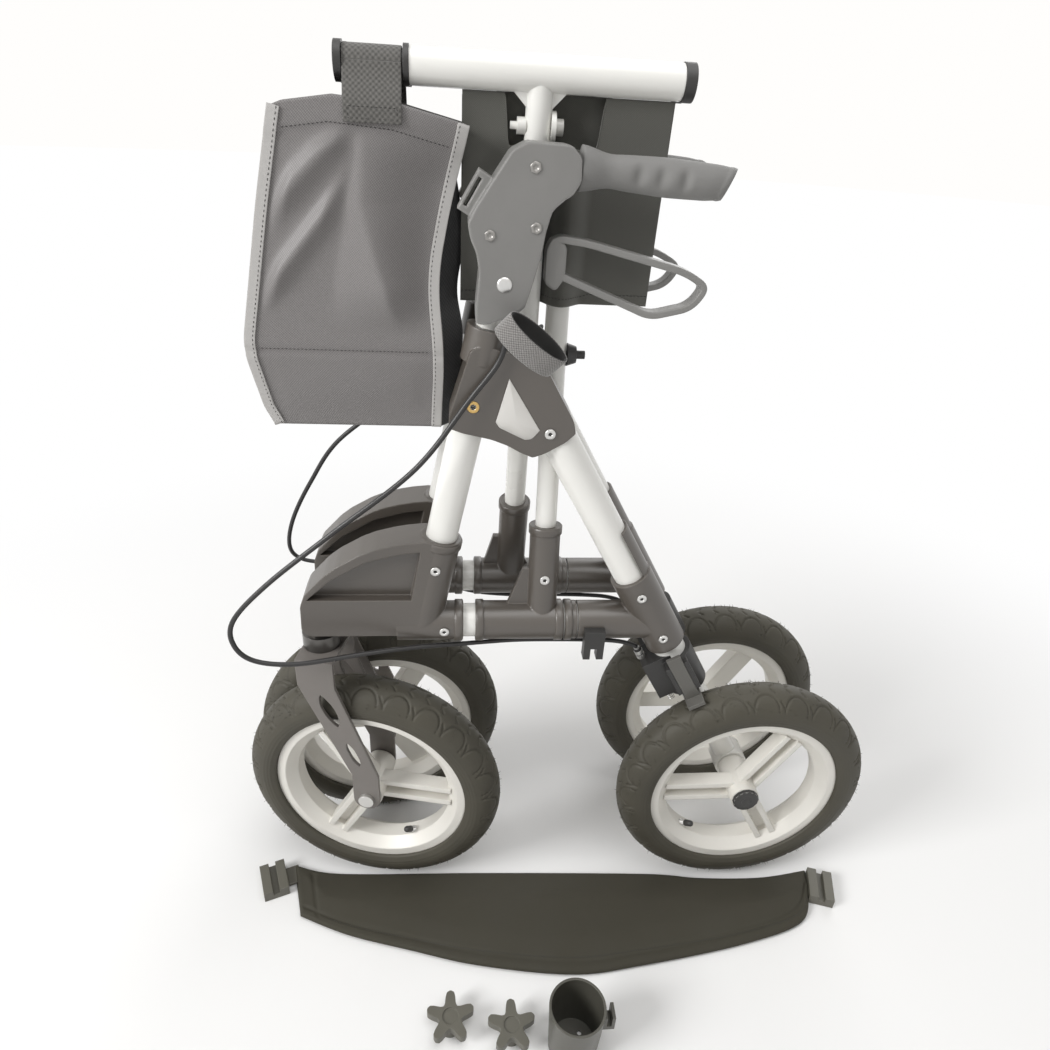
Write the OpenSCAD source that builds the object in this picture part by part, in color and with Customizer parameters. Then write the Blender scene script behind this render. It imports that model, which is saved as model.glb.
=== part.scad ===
// All terrain rollator, stored folded, with its back strap, clamp knobs and cup holder laid beside it.
// X runs from the front to the rear, Y from the user's left to the right, and Z up from the floor.
// Each side frame is drawn once, as the left one, and mirrored for the right.

/* [Placement] */
// Distance from the origin to the middle plane between the side frames
frame_shift_y = 104.95; // [0:0.05:200]
// Distance from the origin to the middle of the wheelbase
frame_shift_x = -0.65; // [-10:0.05:10]

/* [Wheels] */
// Tyre section width
tyre_w = 52; // [46:0.5:54]
// Rubber thickness
tyre_wall = 7.5; // [7:0.5:9]
// Rim flange diameter
rim_d = 229; // [222:0.5:233]
// Tyre height above the rim flange
tyre_h = 38; // [34:0.5:40]
// Rim width over its flanges
rim_w = 40; // [36:0.5:44]
// Height of the rim flange above the bead seat
flange_h = 6.5; // [4:0.5:8]
// Thickness of the rim flange
flange_t = 3; // [2:0.5:4]
// Width of the flat face of the rim lip
lip_w = 10; // [6:0.5:12]
// Depth of the rim from its flange to its narrow middle
rim_depth = 21.5; // [18:0.5:26]
// Width of the rim's narrow middle
barrel_w = 18; // [12:0.5:24]
// Hub diameter
hub_d = 34; // [30:0.5:40]
// Hub length
hub_len = 54; // [50:0.5:54]
// Axle diameter
axle_d = 12; // [8:0.5:16]
// Spokes on one wheel
spoke_count = 3; // [3:1:6]
// Width of one spoke over both ribs
spoke_w = 26; // [20:0.5:32]
// Width of one spoke rib
rib_w = 7; // [4:0.5:9]
// Depth of a spoke rib along the axle
rib_depth = 18; // [12:0.5:24]
// Thickness of the web between two ribs
web_t = 6; // [4:0.5:10]
// Hub cap diameter
hub_cap_d = 30; // [24:0.5:34]
// Hub cap thickness
hub_cap_t = 4; // [2:0.5:6]

/* [Rear axle] */
// Rear axle behind the middle of the wheelbase
rear_axle_x = 223; // [210:0.5:240]
// Rear tyre's inner face outboard of its side frame's middle
rear_tyre_out = 5.5; // [5:0.5:10]
// Diameter of the stay that carries the rear axle
stay_d = 28; // [24:0.5:28]
// Stay's outer face outboard of its side frame's middle
stay_out = 3.5; // [0:0.5:4]
// Diameter of the axle boss at the foot of the stay
boss_d = 40; // [34:0.5:46]

/* [Castors] */
// Steering axis in front of the middle of the wheelbase
steer_x = 272; // [265:0.5:280]
// Axle behind the steering axis
castor_trail = 50; // [40:0.5:60]
// Resting turn of the left castor, wheel swung outward
left_castor_turn = 12; // [0:0.5:12]
// Resting turn of the right castor, wheel swung outward
right_castor_turn = 5; // [0:0.5:8]
// Gap between the tyre and a fork blade
fork_clear = 4; // [3:0.5:6]
// Fork blade thickness
blade_t = 4; // [3:0.5:5]
// Top of the fork crown above the tyre
crown_rise = 46; // [40:0.5:48]
// Fork crown thickness
crown_t = 5; // [4:0.5:8]
// Width of a blade below the crown
blade_top_w = 41; // [36:0.5:46]
// Width of a blade at the axle
blade_foot_w = 31; // [28:0.5:34]
// Steering bearing diameter
bearing_d = 40; // [34:0.5:40]
// Kingpin diameter
kingpin_d = 12; // [8:0.5:14]

/* [Side frames] */
// Half the distance between the folded side frames
fold_half = 44; // [44:0.5:50]
// Lower tube's axis above the tyres
lower_tube_rise = 75; // [73:0.5:80]
// Lower tube diameter
lower_tube_d = 36; // [34:0.5:37]
// Front leg diameter
front_leg_d = 32; // [31.5:0.5:34]
// Rear leg diameter
rear_leg_d = 36; // [32:0.5:38]
// Wall of the legs and of the lower tube
tube_wall = 3; // [2:0.25:3]
// Front leg's foot in front of the middle of the wheelbase
front_foot_x = 164; // [158:0.5:168]
// Backward lean of the front leg and handle tube
front_lean = 11.3; // [10.5:0.1:12]
// Forward lean of the rear leg
rear_lean = 29.9; // [29:0.1:30.5]
// Top of both legs above the lower tube's axis
leg_rise = 260; // [250:1:270]

/* [Castings] */
// Wall of a socket around its tube
socket_wall = 3; // [2.5:0.25:4]
// Front casting's nose in front of the middle of the wheelbase
fin_x = 288; // [285:0.5:292]
// Front casting length
fin_len = 168; // [166:0.5:172]
// Front casting's lower face below the lower tube's axis
fin_drop = 6; // [2:0.5:8]
// Front casting height
fin_h = 116; // [110:0.5:120]
// Front casting width
fin_w = 40; // [36:0.5:41]
// Depth of the pockets in the front casting's sides
fin_pocket = 11; // [4:0.5:13]
// Top joint's front edge in front of the middle of the wheelbase
joint_x = 138; // [136:0.5:140]
// Top joint length
joint_len = 121; // [118:0.5:124]
// Top joint's lowest point above the lower tube's axis
joint_rise = 202; // [198:0.5:210]
// Top joint height
joint_h = 106; // [100:0.5:110]
// Top joint width
joint_w = 39; // [38:0.5:39]
// Front end of the rear casting
rear_cast_x = 4; // [3:0.5:8]
// Length of the rear casting's socket along the rear leg
rear_cast_len = 102; // [90:1:110]
// Foot of that socket above the brake housing's foot, along the leg
rear_cast_rise = 68.5; // [64:0.5:74]

/* [Cross frame] */
// Crossing pivot above the lower tube's axis
pivot_rise = 283; // [275:0.5:290]
// Crossing bolt diameter
pivot_d = 8; // [6:0.5:10]
// Left arm's plane in front of the middle of the wheelbase
left_arm_x = 35; // [34:0.5:37]
// Right arm's plane in front of the middle of the wheelbase
right_arm_x = 64; // [62:0.5:66]
// Cross tube diameter
cross_tube_d = 22; // [20:0.5:22]
// Seat tube diameter
seat_tube_d = 27; // [24:0.5:27]
// Seat tube's axis above the crossing pivot, folded
seat_tube_rise = 229; // [222:0.5:237]
// Half the distance between the folded seat tubes
seat_half = 14.8; // [14.2:0.1:15]
// Front end of the seat tube's painted length
seat_front_x = 167; // [160:0.5:175]
// Rear end of the seat tube's painted length
seat_rear_x = 50; // [40:0.5:60]
// Length of the bag peg in front of the seat tube
peg_len = 57; // [50:0.5:64]
// Bag peg diameter
peg_d = 20; // [16:0.5:22]
// Gap between the front casting and the sleeve
sleeve_gap = 13; // [12:0.5:16]
// Sleeve's rear end in front of the middle of the wheelbase
sleeve_rear_x = 12; // [12:0.5:14]
// Top of the sleeve's arm socket above the lower tube's axis
arm_socket_rise = 110; // [90:1:120]

/* [Seat and bag] */
// Seat cloth thickness
cloth_t = 2.5; // [1.5:0.25:3]
// Seat cloth from the tube's axis to the middle fold
cloth_drop = 180.5; // [175:0.5:185]
// Seat cloth length along the tube
cloth_len = 173; // [160:1:174]
// Half width of the folded bag
bag_half = 34; // [30:0.5:34]
// Bag length
bag_len = 190; // [180:1:190]
// Bag height
bag_h = 276; // [260:1:280]
// Bag cloth thickness
bag_wall = 3; // [2:0.25:4]
// Width of the bag's webbing loop
loop_w = 45; // [36:0.5:46]

/* [Handles] */
// Handle tube diameter
handle_tube_d = 25; // [22:0.5:25]
// Lower end of the handle tube above the lower tube's axis
handle_tube_rise = 110; // [70:1:120]
// Casing length
casing_len = 90; // [86:0.5:92]
// Casing height
casing_h = 143; // [138:0.5:146]
// Casing's lowest point above the top joint's collar
casing_lift = 4; // [3:0.5:7]
// Casing width
casing_w = 36; // [34:0.5:38]
// Casing's middle outboard of its side frame
casing_out = 4; // [3.5:0.5:6]
// Grip length
grip_len = 130; // [120:1:140]
// Grip's largest diameter
grip_d = 33; // [28:0.5:33]
// Downward slope of the grip
grip_slope = 3; // [0:0.5:6]
// Lever length
lever_len = 146; // [130:1:150]
// Lever height
lever_h = 67; // [60:0.5:70]
// Lever band width
lever_w = 16; // [12:0.5:18]
// Lever band thickness
lever_t = 6; // [4:0.5:8]
// Lever pin diameter
lever_pin_d = 5; // [4:0.5:6]

/* [Brakes] */
// Brake housing diameter
brake_d = 48; // [44:0.5:50]
// Foot of the brake housing above the tyre, along the leg
brake_clear = 9; // [8.5:0.5:12]
// Brake housing length
brake_len = 52; // [46:0.5:58]
// Width of the brake bar
bar_w = 16; // [12:0.5:18]
// Thickness of the brake bar
bar_t = 5; // [3:0.5:7]
// Resting gap between the brake shoe and the tread
shoe_gap = 3; // [2.8:0.1:4]
// Brake cable diameter
cable_d = 5; // [4:0.25:6]

/* [Loose pieces] */
// Back strap length
strap_len = 669; // [600:1:680]
// Back strap depth at its widest
strap_depth = 155; // [130:1:158]
// Back strap thickness at its edge
strap_edge_t = 8; // [3:0.5:8]
// Rise of the strap's padded middle above its edge
strap_crown = 5; // [2:0.5:8]
// Strap clip length
clip_len = 30; // [24:0.5:34]
// Clamp knob diameter over its arms
knob_d = 52; // [44:0.5:56]
// Clamp knob height
knob_h = 22; // [18:0.5:28]
// Arms on a clamp knob
knob_arms = 5; // [3:1:6]
// Thread diameter of the clamp knobs and their inserts
thread_d = 6; // [5:1:8]
// Cup holder diameter at its rim
cup_d = 59; // [55:0.5:64]
// Cup holder diameter at its base
cup_base_d = 52; // [46:0.5:54]
// Cup holder height
cup_h = 70; // [60:0.5:80]
// Cup holder wall
cup_wall = 2.5; // [2:0.25:3]

/* [Fits] */
// Radial gap of a tube in its socket
seat_gap = 0.15; // [0.1:0.05:0.2]
// Radial gap of a turning fit
turn_gap = 0.05; // [0.02:0.01:0.08]
// Gap between pieces that move past each other
body_gap = 0.4; // [0.3:0.05:0.5]
// Overrun of a cut past the face that it opens
overrun = 2; // [1:0.5:4]

/* [Hidden] */
$fn = 64;
wheel_d = rim_d + 2 * tyre_h;
barrel_d = rim_d - 2 * rim_depth;
tyre_r = wheel_d / 2;
axle_z = tyre_r;
rear_wheel_out = rear_tyre_out + tyre_w / 2;
stay_in = stay_d / 2 - stay_out;
fork_gap = tyre_w + 2 * fork_clear;
crown_z = wheel_d + crown_rise;
lower_tube_z = wheel_d + lower_tube_rise;
leg_top_z = lower_tube_z + leg_rise;
fin_z = lower_tube_z - fin_drop;
joint_z = lower_tube_z + joint_rise;
pivot_z = lower_tube_z + pivot_rise;
seat_tube_z = pivot_z + seat_tube_rise;
arm_socket_z = lower_tube_z + arm_socket_rise;
handle_tube_z = lower_tube_z + handle_tube_rise;
sleeve_front_x = fin_x - fin_len - sleeve_gap;
brake_foot = tyre_r + brake_clear;
rear_cast_foot = brake_foot + rear_cast_rise;
bearing_h = fin_z - crown_z - body_gap;
socket_d = front_leg_d + 2 * (socket_wall + seat_gap) + socket_wall;
lower_socket_d = lower_tube_d + 2 * (seat_gap + socket_wall);
leg_socket_d = rear_leg_d + 2 * (seat_gap + socket_wall) + socket_wall;
casing_y = -fold_half - casing_out;
arm_lean = atan(fold_half / (pivot_z - lower_tube_z));

// Outlines, as shares of the length and height of the casting that they follow
corner_share = 0.25;
bevel_share = 0.4;
fin_shares = [[0, 0], [0.01, 0.4], [0.2, 0.7], [0.42, 0.89], [0.62, 0.97], [0.82, 1],
    [0.86, 0.92], [0.76, 0]];
pocket_shares = [[0.045, 0.39], [0.2, 0.6], [0.42, 0.79], [0.62, 0.87], [0.74, 0.89], [0.68, 0.39]];
joint_shares = [[0.15, 0.86], [0.19, 1], [0.64, 0.89], [0.7, 0.87], [1, 0.28], [0.97, 0.19], [0.7, 0],
    [0.63, 0.01], [0.41, 0.15], [0.05, 0.24], [0, 0.29]];
badge_shares = [[0.46, 0.72], [0.37, 0.33], [0.4, 0.28], [0.6, 0.17], [0.65, 0.18], [0.71, 0.26]];
casing_shares = [[0.43, 1], [0.98, 0.99], [1, 0.755], [0.8, 0.71], [0.72, 0.6], [0.69, 0.44], [0.58, 0.17],
    [0.53, 0.09], [0.11, 0], [0.09, 0.06], [0.13, 0.37], [0, 0.545], [0.03, 0.615]];
lever_shares = [[0.02, 0.94], [0.08, 1], [0.24, 0.96], [0.84, 0.66], [1, 0.46], [0.91, 0.14], [0.65, 0],
    [0.5, 0.13], [0.06, 0.5], [0, 0.7]];
bag_shares = [[0.28, 0.986], [0.5, 1], [0.75, 0.986], [0.98, 0.94], [0.89, 0.51], [0.92, 0.26], [0.9, 0],
    [0.13, 0.005], [0.06, 0.03], [0, 0.28], [0.13, 0.7], [0.22, 0.955]];
strap_shares = [[0, 1], [0.06, 0.92], [0.15, 0.89], [0.36, 0.865], [0.67, 0.8], [0.78, 0.74], [0.9, 0.72],
    [1, 0.77], [0.99, 0.6], [0.95, 0.32], [0.82, 0.16], [0.63, 0.04], [0.51, 0], [0.35, 0.1], [0.23, 0.24],
    [0.12, 0.38], [0.03, 0.55]];
grip_shares = [[0, 0.53], [0.05, 0.5], [0.17, 0.37], [0.3, 0.41], [0.55, 0.45], [0.9, 0.42], [1, 0.36]];
star_shares = [[0.23, 0.42], [0.19, 0.85], [0.11, 1]];
crown_shares = [1, 0.88, 0.62, 0.32];
insert_share = 0.46;
joint_rivet_shares = [0.79, 0.23];
clip_shares = [[-0.03, 0.86], [1.012, 0.6]];

// Small sizes of the wheels
wheel_sides = 96;
left_front_spin = 60;
tyre_fit = 0.2;
hub_cap_gap = 0.1;
axle_short = 5;

// Small sizes of the castings, their rivets and the threaded inserts
edge_r = 8;
rivet_d = 10;
rivet_h = 1.5;
insert_d = 11;
insert_len = 3;
thread_pitch = 1;
insert_bore_d = thread_d - thread_pitch;
badge_t = 1.5;
collar_d = 40;
collar_rise = 11;
collar_seat = 20;
collar_top_z = joint_z + joint_h + collar_rise;
collar_foot_z = joint_z + joint_h - collar_seat;
casing_z = collar_top_z + casing_lift;
lower_front_x = 178;
lower_rear_gap = 35.2;
lower_rear_x = rear_axle_x - (lower_tube_z - axle_z) * tan(rear_lean) - lower_rear_gap;
front_leg_foot_rise = 26;
front_leg_foot_z = lower_tube_z + front_leg_foot_rise;
front_socket_rise = 106;
front_socket_top_z = lower_tube_z + front_socket_rise;
ring_w = 12;
stop_ring_len = 13;
stop_ring_gap = 1.5;
flange_len = 62;
flange_shell = 3;
clip_block = [22, 12, 36];
clip_block_x = 10;
clip_block_drop = 32;
clip_block_z = lower_tube_z - clip_block_drop;
clip_block_stand = 9.4;
clip_slot_w = 7;
clip_slot_h = 14;

// Small sizes of the castors
shoulder_drop = 34;
shoulder_z = crown_z - shoulder_drop;
knee_rise = 37.5;
knee_z = axle_z + knee_rise;
crown_front = 18;
window_drop = 45;
window_h = 44;
slit_drop = 112;
slit_h = 34;
window_top_z = crown_z - window_drop;
window_foot_z = window_top_z - window_h;
slit_top_z = crown_z - slit_drop;
slit_foot_z = slit_top_z - slit_h;
window_w = 15;
slit_w = 9;
bearing_neck_d = 26;
kingpin_h = 34;
bolt_head_d = 18;
bolt_head_t = 4;
washer_d = 22;

// Small sizes of the brakes
lump_w = 36;
lump_len = 24;
lump_rise = 4.5;
lump_h = 54;
lump_foot = brake_foot + lump_rise;
lump_top = lump_foot + lump_h;
channel_wall = 5;
bar_out = 29;
bar_rise = 4;
bar_top = lump_top + bar_rise;
shoe_w = 24;
shoe_len = 20;
shoe_t = 5;
adjuster_d = 9;
adjuster_h = 14;
adjuster_fwd = 33;
stay_seat = 25.5;
stay_top = brake_foot + stay_seat;

// Small sizes of the cross frame
cross_wall = 2.25;
pivot_head_d = 16;
pivot_head_t = 6;
pivot_cone_d = 22;
pivot_cone_len = 9;
link_bolt_d = 6;
link_tail = 12;
link_drop = 37;
link_bolt_z = seat_tube_z - link_drop;
link_nut_d = 13;
link_washer_d = 24;
link_washer_t = 3;
gusset_t = 6;
gusset_len = 16;
wing_t = 6;
wing_len = 30;
wing_h = 62;
arm_socket_wall = 5;
cap_len = 9;
cap_lip = 0.9;
peg_flange_t = 6;

// Small sizes of the handles
grip_gap = 0.2;
grip_core_d = 20;
grip_rise = 125;
grip_z = casing_z + grip_rise;
grip_cut_tilt = 20;
casing_front = 47.6;
lever_x = 66;
lever_z = 8;
eye_d = 13;
eye_x = 56;
eye_z = 57;
tab_t = 5;
tab_len = 34;
tab_stand = 8;
tab_lean = 30;
tab_x = 8;
tab_z = 103;
velcro_w = 22;
velcro_t = 2;
velcro_len = 62;
velcro_depth = 26;
velcro_tilt = 38;
velcro_place = [48, -38, -15];
velcro_tongue = [8, 15.6, 11];

// Small sizes of the bag and the loose pieces
bag_x = 316;
bag_hang = 298;
bag_z = seat_tube_z - bag_hang;
cloth_rear_gap = 3;
cloth_fold_gap = 0.6;
cloth_cells = 42;
cloth_rows = 8;
cloth_wave = 15.5;
wave_half = 21;
arm_clear = 3;
notch_h = 38;
loop_t = 2.4;
loop_tail = 36;
strap_place = [-332, -218];
strap_corner_r = 9;
clip_depth = 42;
clip_t = 14;
clip_slot = 8;
clip_turns = [20, -18];
tongue_len = 16;
tongue_w = 24;
tongue_t = 3;
first_knob_place = [-131, -264];
second_knob_place = [-66, -276];
knob_plate_t = 9;
knob_hub_d = 24;
knob_skirt_d = 22;
knob_skirt_wall = 3;
knob_dish_d = 17;
star_r = 2;
knob_dish = 1.5;
stud_rise = 1;
cup_place = [-1, -287];
drain_d = 5;
drain_ring_d = 24;
drain_count = 4;
cup_clip = [10, 16, 20];
cup_clip_slot = 5;
cup_clip_z = 40;

// Routes of the two brake cables, from the handle casing to the brake housing
cable_sides = 8;
cable_steps = 4;
left_cable_route = [[-86, -61, 710], [-87, -68, 693], [-94, -69, 672], [-117, -72, 641], [-166, -82, 577],
    [-244, -94, 515], [-305, -99, 464], [-341, -102, 424], [-345, -102, 394], [-328, -100, 372],
    [-287, -97, 365], [-221, -88, 370], [-166, -70, 364], [-116, -52, 354], [-60, -44, 352], [0, -44, 352],
    [45, -44, 350], [66, -44, 346], [77, -44, 341]];
right_cable_route = [[-86, 61, 710], [-87, 68, 693], [-97, 70, 670], [-130, 72, 632], [-190, 76, 590],
    [-259, 84, 534], [-296, 92, 478], [-322, 96, 426], [-330, 97, 388], [-318, 98, 369], [-285, 97, 364],
    [-221, 88, 370], [-166, 70, 364], [-116, 52, 354], [-60, 44, 352], [0, 44, 352], [45, 44, 350],
    [66, 44, 346], [77, 44, 341]];

// Points along the front leg's and rear leg's axes
function front_leg_at(z) = [-front_foot_x + (z - lower_tube_z) * tan(front_lean), -fold_half, z];
function rear_leg_at(d) = [rear_axle_x - d * sin(rear_lean), -fold_half, axle_z + d * cos(rear_lean)];

// Shares stretched over a length and a height
function stretched(shares, size) = [for (p = shares) [p.x * size.x, p.y * size.y]];

// An outline with its corners cut twice, which rounds them over about the length r
function bevelled(p, r) = [for (i = [0:len(p) - 1])
    let (a = p[i], b = p[(i + 1) % len(p)], cut = min(r, norm(b - a) * bevel_share))
    each [a + unit(b - a) * cut, b - unit(b - a) * cut]];
function softened(p, r) = bevelled(bevelled(p, r), r * corner_share);

// A smooth line through a list of points, with a number of steps between each two
function bend(p, i, t) = let (a = p[max(i - 1, 0)], b = p[i], c = p[i + 1], d = p[min(i + 2, len(p) - 1)])
    ((2 * b) + (c - a) * t + (2 * a - 5 * b + 4 * c - d) * t ^ 2 + (3 * b - a - 3 * c + d) * t ^ 3) / 2;
function smooth_line(p, n) = [for (i = [0:len(p) - 2]) for (k = [0:n - 1]) bend(p, i, k / n), p[len(p) - 1]];

function unit(v) = v / norm(v);

// Triangles with their order turned, for outlines that run clockwise
function turned(faces) = [for (f = faces) [f[2], f[1], f[0]]];

module on_left() {
    translate([frame_shift_x, frame_shift_y, 0]) children();
}

module on_right() {
    translate([frame_shift_x, frame_shift_y, 0]) mirror([0, 1, 0]) children();
}

// A round bar from one point to another
module rod(from, to, d) {
    v = to - from;
    translate(from) rotate([0, acos(v.z / norm(v)), atan2(v.y, v.x)]) cylinder(d = d, h = norm(v));
}

// A bar along X at a height on the side frame's plane
module frame_bar(from_x, to_x, z, d) {
    translate([from_x, -fold_half, z]) rotate([0, 90, 0]) cylinder(d = d, h = to_x - from_x);
}

// An outline in the XZ plane, made a slab of some width about a place in Y
module slab(y, width) {
    translate([0, y + width / 2, 0]) rotate([90, 0, 0]) linear_extrude(height = width) children();
}

// A place on the rear leg, with Z along the leg and X square to it
module on_rear_leg(d) {
    translate(rear_leg_at(d)) rotate([0, -rear_lean, 0]) children();
}

// The castor's own frame: the steering axis at the origin, the axle at X = castor_trail
module on_castor(turn) {
    translate([-steer_x, -fold_half, 0]) rotate([0, 0, -turn]) children();
}

// A wheel's own frame, with Z along the axle and pointing outboard
module on_axle(x, y) {
    translate([x, y, axle_z]) rotate([90, 0, 0]) children();
}

// A round cord swept along a smooth line
module cord(route, d) {
    line = smooth_line(route, cable_steps);
    last = len(line) - 1;
    points = [for (i = [0:last])
        let (t = unit(line[min(i + 1, last)] - line[max(i - 1, 0)]), u = unit(cross(t, [0, 1, 0])),
            v = cross(t, u))
        for (k = [0:cable_sides - 1])
            line[i] + (u * cos(360 * k / cable_sides) + v * sin(360 * k / cable_sides)) * d / 2];
    walls = [for (i = [0:last - 1]) for (k = [0:cable_sides - 1])
        let (a = i * cable_sides + k, b = i * cable_sides + (k + 1) % cable_sides)
        each [[a, a + cable_sides, b], [b, a + cable_sides, b + cable_sides]]];
    ends = [for (k = [1:cable_sides - 2]) each [[0, k, k + 1],
        [last * cable_sides, last * cable_sides + k + 1, last * cable_sides + k]]];
    polyhedron(points = points, faces = concat(walls, ends));
}

module lower_tube() {
    color("whitesmoke") difference() {
        frame_bar(-lower_front_x, lower_rear_x, lower_tube_z, lower_tube_d);
        frame_bar(-lower_front_x - overrun, lower_rear_x + overrun, lower_tube_z,
            lower_tube_d - 2 * tube_wall);
    }
}

module front_leg() {
    color("whitesmoke") difference() {
        rod(front_leg_at(front_leg_foot_z), front_leg_at(leg_top_z), front_leg_d);
        rod(front_leg_at(front_leg_foot_z - overrun), front_leg_at(leg_top_z + overrun),
            front_leg_d - 2 * tube_wall);
        insert_place() translate([0, 0, -joint_w / 2]) cylinder(d = thread_d + 2 * body_gap, h = joint_w / 2);
    }
}

module rear_leg() {
    top = (leg_top_z - axle_z) / cos(rear_lean) - rear_leg_d;
    color("whitesmoke") difference() {
        rod(rear_leg_at(stay_top + tube_wall), rear_leg_at(top), rear_leg_d);
        rod(rear_leg_at(stay_top), rear_leg_at(top + overrun), rear_leg_d - 2 * tube_wall);
    }
}

// Cast plastic joint that holds both legs and guides the handle tube
module top_joint() {
    leg_top = (leg_top_z - axle_z) / cos(rear_lean) - rear_leg_d;
    color("dimgray") difference() {
        union() {
            translate([-joint_x, 0, joint_z]) slab(-fold_half, joint_w)
                polygon(softened(stretched(joint_shares, [joint_len, joint_h]), edge_r));
            rod(front_leg_at(collar_foot_z), front_leg_at(collar_top_z), collar_d);
        }
        rod(front_leg_at(joint_z - joint_h), front_leg_at(leg_top_z + seat_gap),
            front_leg_d + 2 * seat_gap);
        rod(front_leg_at(leg_top_z), front_leg_at(collar_top_z + overrun), handle_tube_d + 2 * body_gap);
        rod(rear_leg_at(rear_cast_foot), rear_leg_at(leg_top + seat_gap), rear_leg_d + 2 * seat_gap);
        translate([-joint_x, 0, joint_z]) slab(-fold_half - joint_w / 2, 2 * badge_t)
            polygon(stretched(badge_shares, [joint_len, joint_h]));
        insert_place() translate([0, 0, -insert_len])
            cylinder(d = insert_d + 2 * seat_gap, h = insert_len + overrun);
        insert_place() translate([0, 0, -joint_w / 2]) cylinder(d = thread_d + 2 * body_gap, h = joint_w / 2);
    }
}

// The threaded insert's mouth on the top joint's outer face, over the handle tube
module insert_place() {
    insert_z = joint_z + joint_h * insert_share;
    translate([front_leg_at(insert_z).x, -fold_half - joint_w / 2, insert_z]) rotate([90, 0, 0]) children();
}

// A rivet head on an outer face, at a place in the XZ plane
module rivet(x, z, y) {
    translate([x, y, z]) rotate([90, 0, 0]) difference() {
        cylinder(d = rivet_d, h = rivet_h);
        translate([0, 0, rivet_h / 2]) cylinder(d = rivet_d / 3, h = rivet_h);
    }
}

// Rivets of the castings, the top joint's threaded insert and its plain badge plate
module frame_fasteners() {
    fin_face = -fold_half - socket_d / 2;
    tail_face = -fold_half - lower_socket_d / 2;
    leg_face = -fold_half - leg_socket_d / 2;
    color("gainsboro") {
        rivet(front_leg_at(front_socket_top_z - rivet_d * 3).x, front_socket_top_z - rivet_d * 3,
            fin_face);
        rivet(-fin_x + fin_len - rivet_d * 2, lower_tube_z, tail_face);
        rivet(rear_leg_at(rear_cast_foot + rear_cast_len - rivet_d * 2).x,
            rear_leg_at(rear_cast_foot + rear_cast_len - rivet_d * 2).z, leg_face);
        rivet(rear_leg_at(rear_cast_foot + rivet_d * 2).x, rear_leg_at(rear_cast_foot + rivet_d * 2).z,
            leg_face);
        rivet(-joint_x + joint_len * joint_rivet_shares.x, joint_z + joint_h * joint_rivet_shares.y,
            -fold_half - joint_w / 2);
    }
    color("goldenrod") insert_place() translate([0, 0, -insert_len]) difference() {
        cylinder(d = insert_d, h = insert_len);
        translate([0, 0, -overrun]) cylinder(d = insert_bore_d, h = insert_len + 2 * overrun);
    }
    color("silver") translate([-joint_x + seat_gap, 0, joint_z + seat_gap])
        slab(-fold_half - joint_w / 2 + badge_t / 2, badge_t)
        polygon(stretched(badge_shares, [joint_len - 2 * seat_gap, joint_h - 2 * seat_gap]));
}

// Fin-shaped front casting over the castor, with sockets for the front leg and the lower tube
module front_housing() {
    color("dimgray") difference() {
        union() {
            translate([-fin_x, 0, fin_z]) difference() {
                slab(-fold_half, fin_w) polygon(softened(stretched(fin_shares, [fin_len, fin_h]), edge_r));
                for (side = [-1, 1])
                    slab(-fold_half + side * (fin_w / 2), 2 * fin_pocket)
                        polygon(stretched(pocket_shares, [fin_len, fin_h]));
            }
            rod(front_leg_at(lower_tube_z), front_leg_at(front_socket_top_z), socket_d);
            frame_bar(-lower_front_x - ring_w, -fin_x + fin_len, lower_tube_z, lower_socket_d);
        }
        rod(front_leg_at(front_leg_foot_z - seat_gap), front_leg_at(front_socket_top_z + front_leg_d),
            front_leg_d + 2 * seat_gap);
        frame_bar(-lower_front_x - seat_gap, -fin_x + fin_len + overrun, lower_tube_z,
            lower_tube_d + 2 * seat_gap);
        translate([-steer_x, -fold_half, crown_z]) cylinder(d = kingpin_d + 2 * turn_gap,
            h = bearing_h + kingpin_h + 2 * overrun);
    }
}

// Rear casting: a sleeve on the lower tube and a socket on the rear leg, with a stop ring beside it
module rear_housing() {
    top = rear_cast_foot + rear_cast_len;
    color("dimgray") difference() {
        union() {
            frame_bar(rear_cast_x, rear_leg_at((lower_tube_z - axle_z) / cos(rear_lean)).x, lower_tube_z,
                lower_socket_d);
            rod(rear_leg_at(rear_cast_foot), rear_leg_at(top), leg_socket_d);
            on_rear_leg(top - flange_shell) intersection() {
                cylinder(d = rear_leg_d + 2 * (seat_gap + flange_shell), h = flange_len);
                translate([rear_leg_d / 3, -rear_leg_d, 0]) cube([rear_leg_d, 2 * rear_leg_d, flange_len]);
            }
        }
        frame_bar(rear_cast_x - overrun, lower_rear_x + seat_gap, lower_tube_z, lower_tube_d + 2 * seat_gap);
        rod(rear_leg_at(rear_cast_foot - overrun), rear_leg_at(top + flange_len + overrun),
            rear_leg_d + 2 * seat_gap);
    }
    color("dimgray") difference() {
        frame_bar(rear_cast_x - stop_ring_len - stop_ring_gap, rear_cast_x - stop_ring_gap, lower_tube_z,
            lower_socket_d);
        frame_bar(rear_cast_x - stop_ring_len - overrun, rear_cast_x + overrun, lower_tube_z,
            lower_tube_d + 2 * seat_gap);
    }
}

// Slotted clip for a walking stick, seated on the rear casting's sleeve
module stick_clip() {
    color("black") difference() {
        translate([clip_block_x, -fold_half - lower_socket_d / 2 - clip_block_stand, clip_block_z])
            difference() {
                cube(clip_block);
                translate([(clip_block.x - clip_slot_w) / 2, -overrun, -overrun])
                    cube([clip_slot_w, clip_block.y + 2 * overrun, clip_slot_h + overrun]);
            }
        frame_bar(clip_block_x - overrun, clip_block_x + clip_block.x + overrun, lower_tube_z,
            lower_socket_d + 2 * seat_gap);
    }
}

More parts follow.
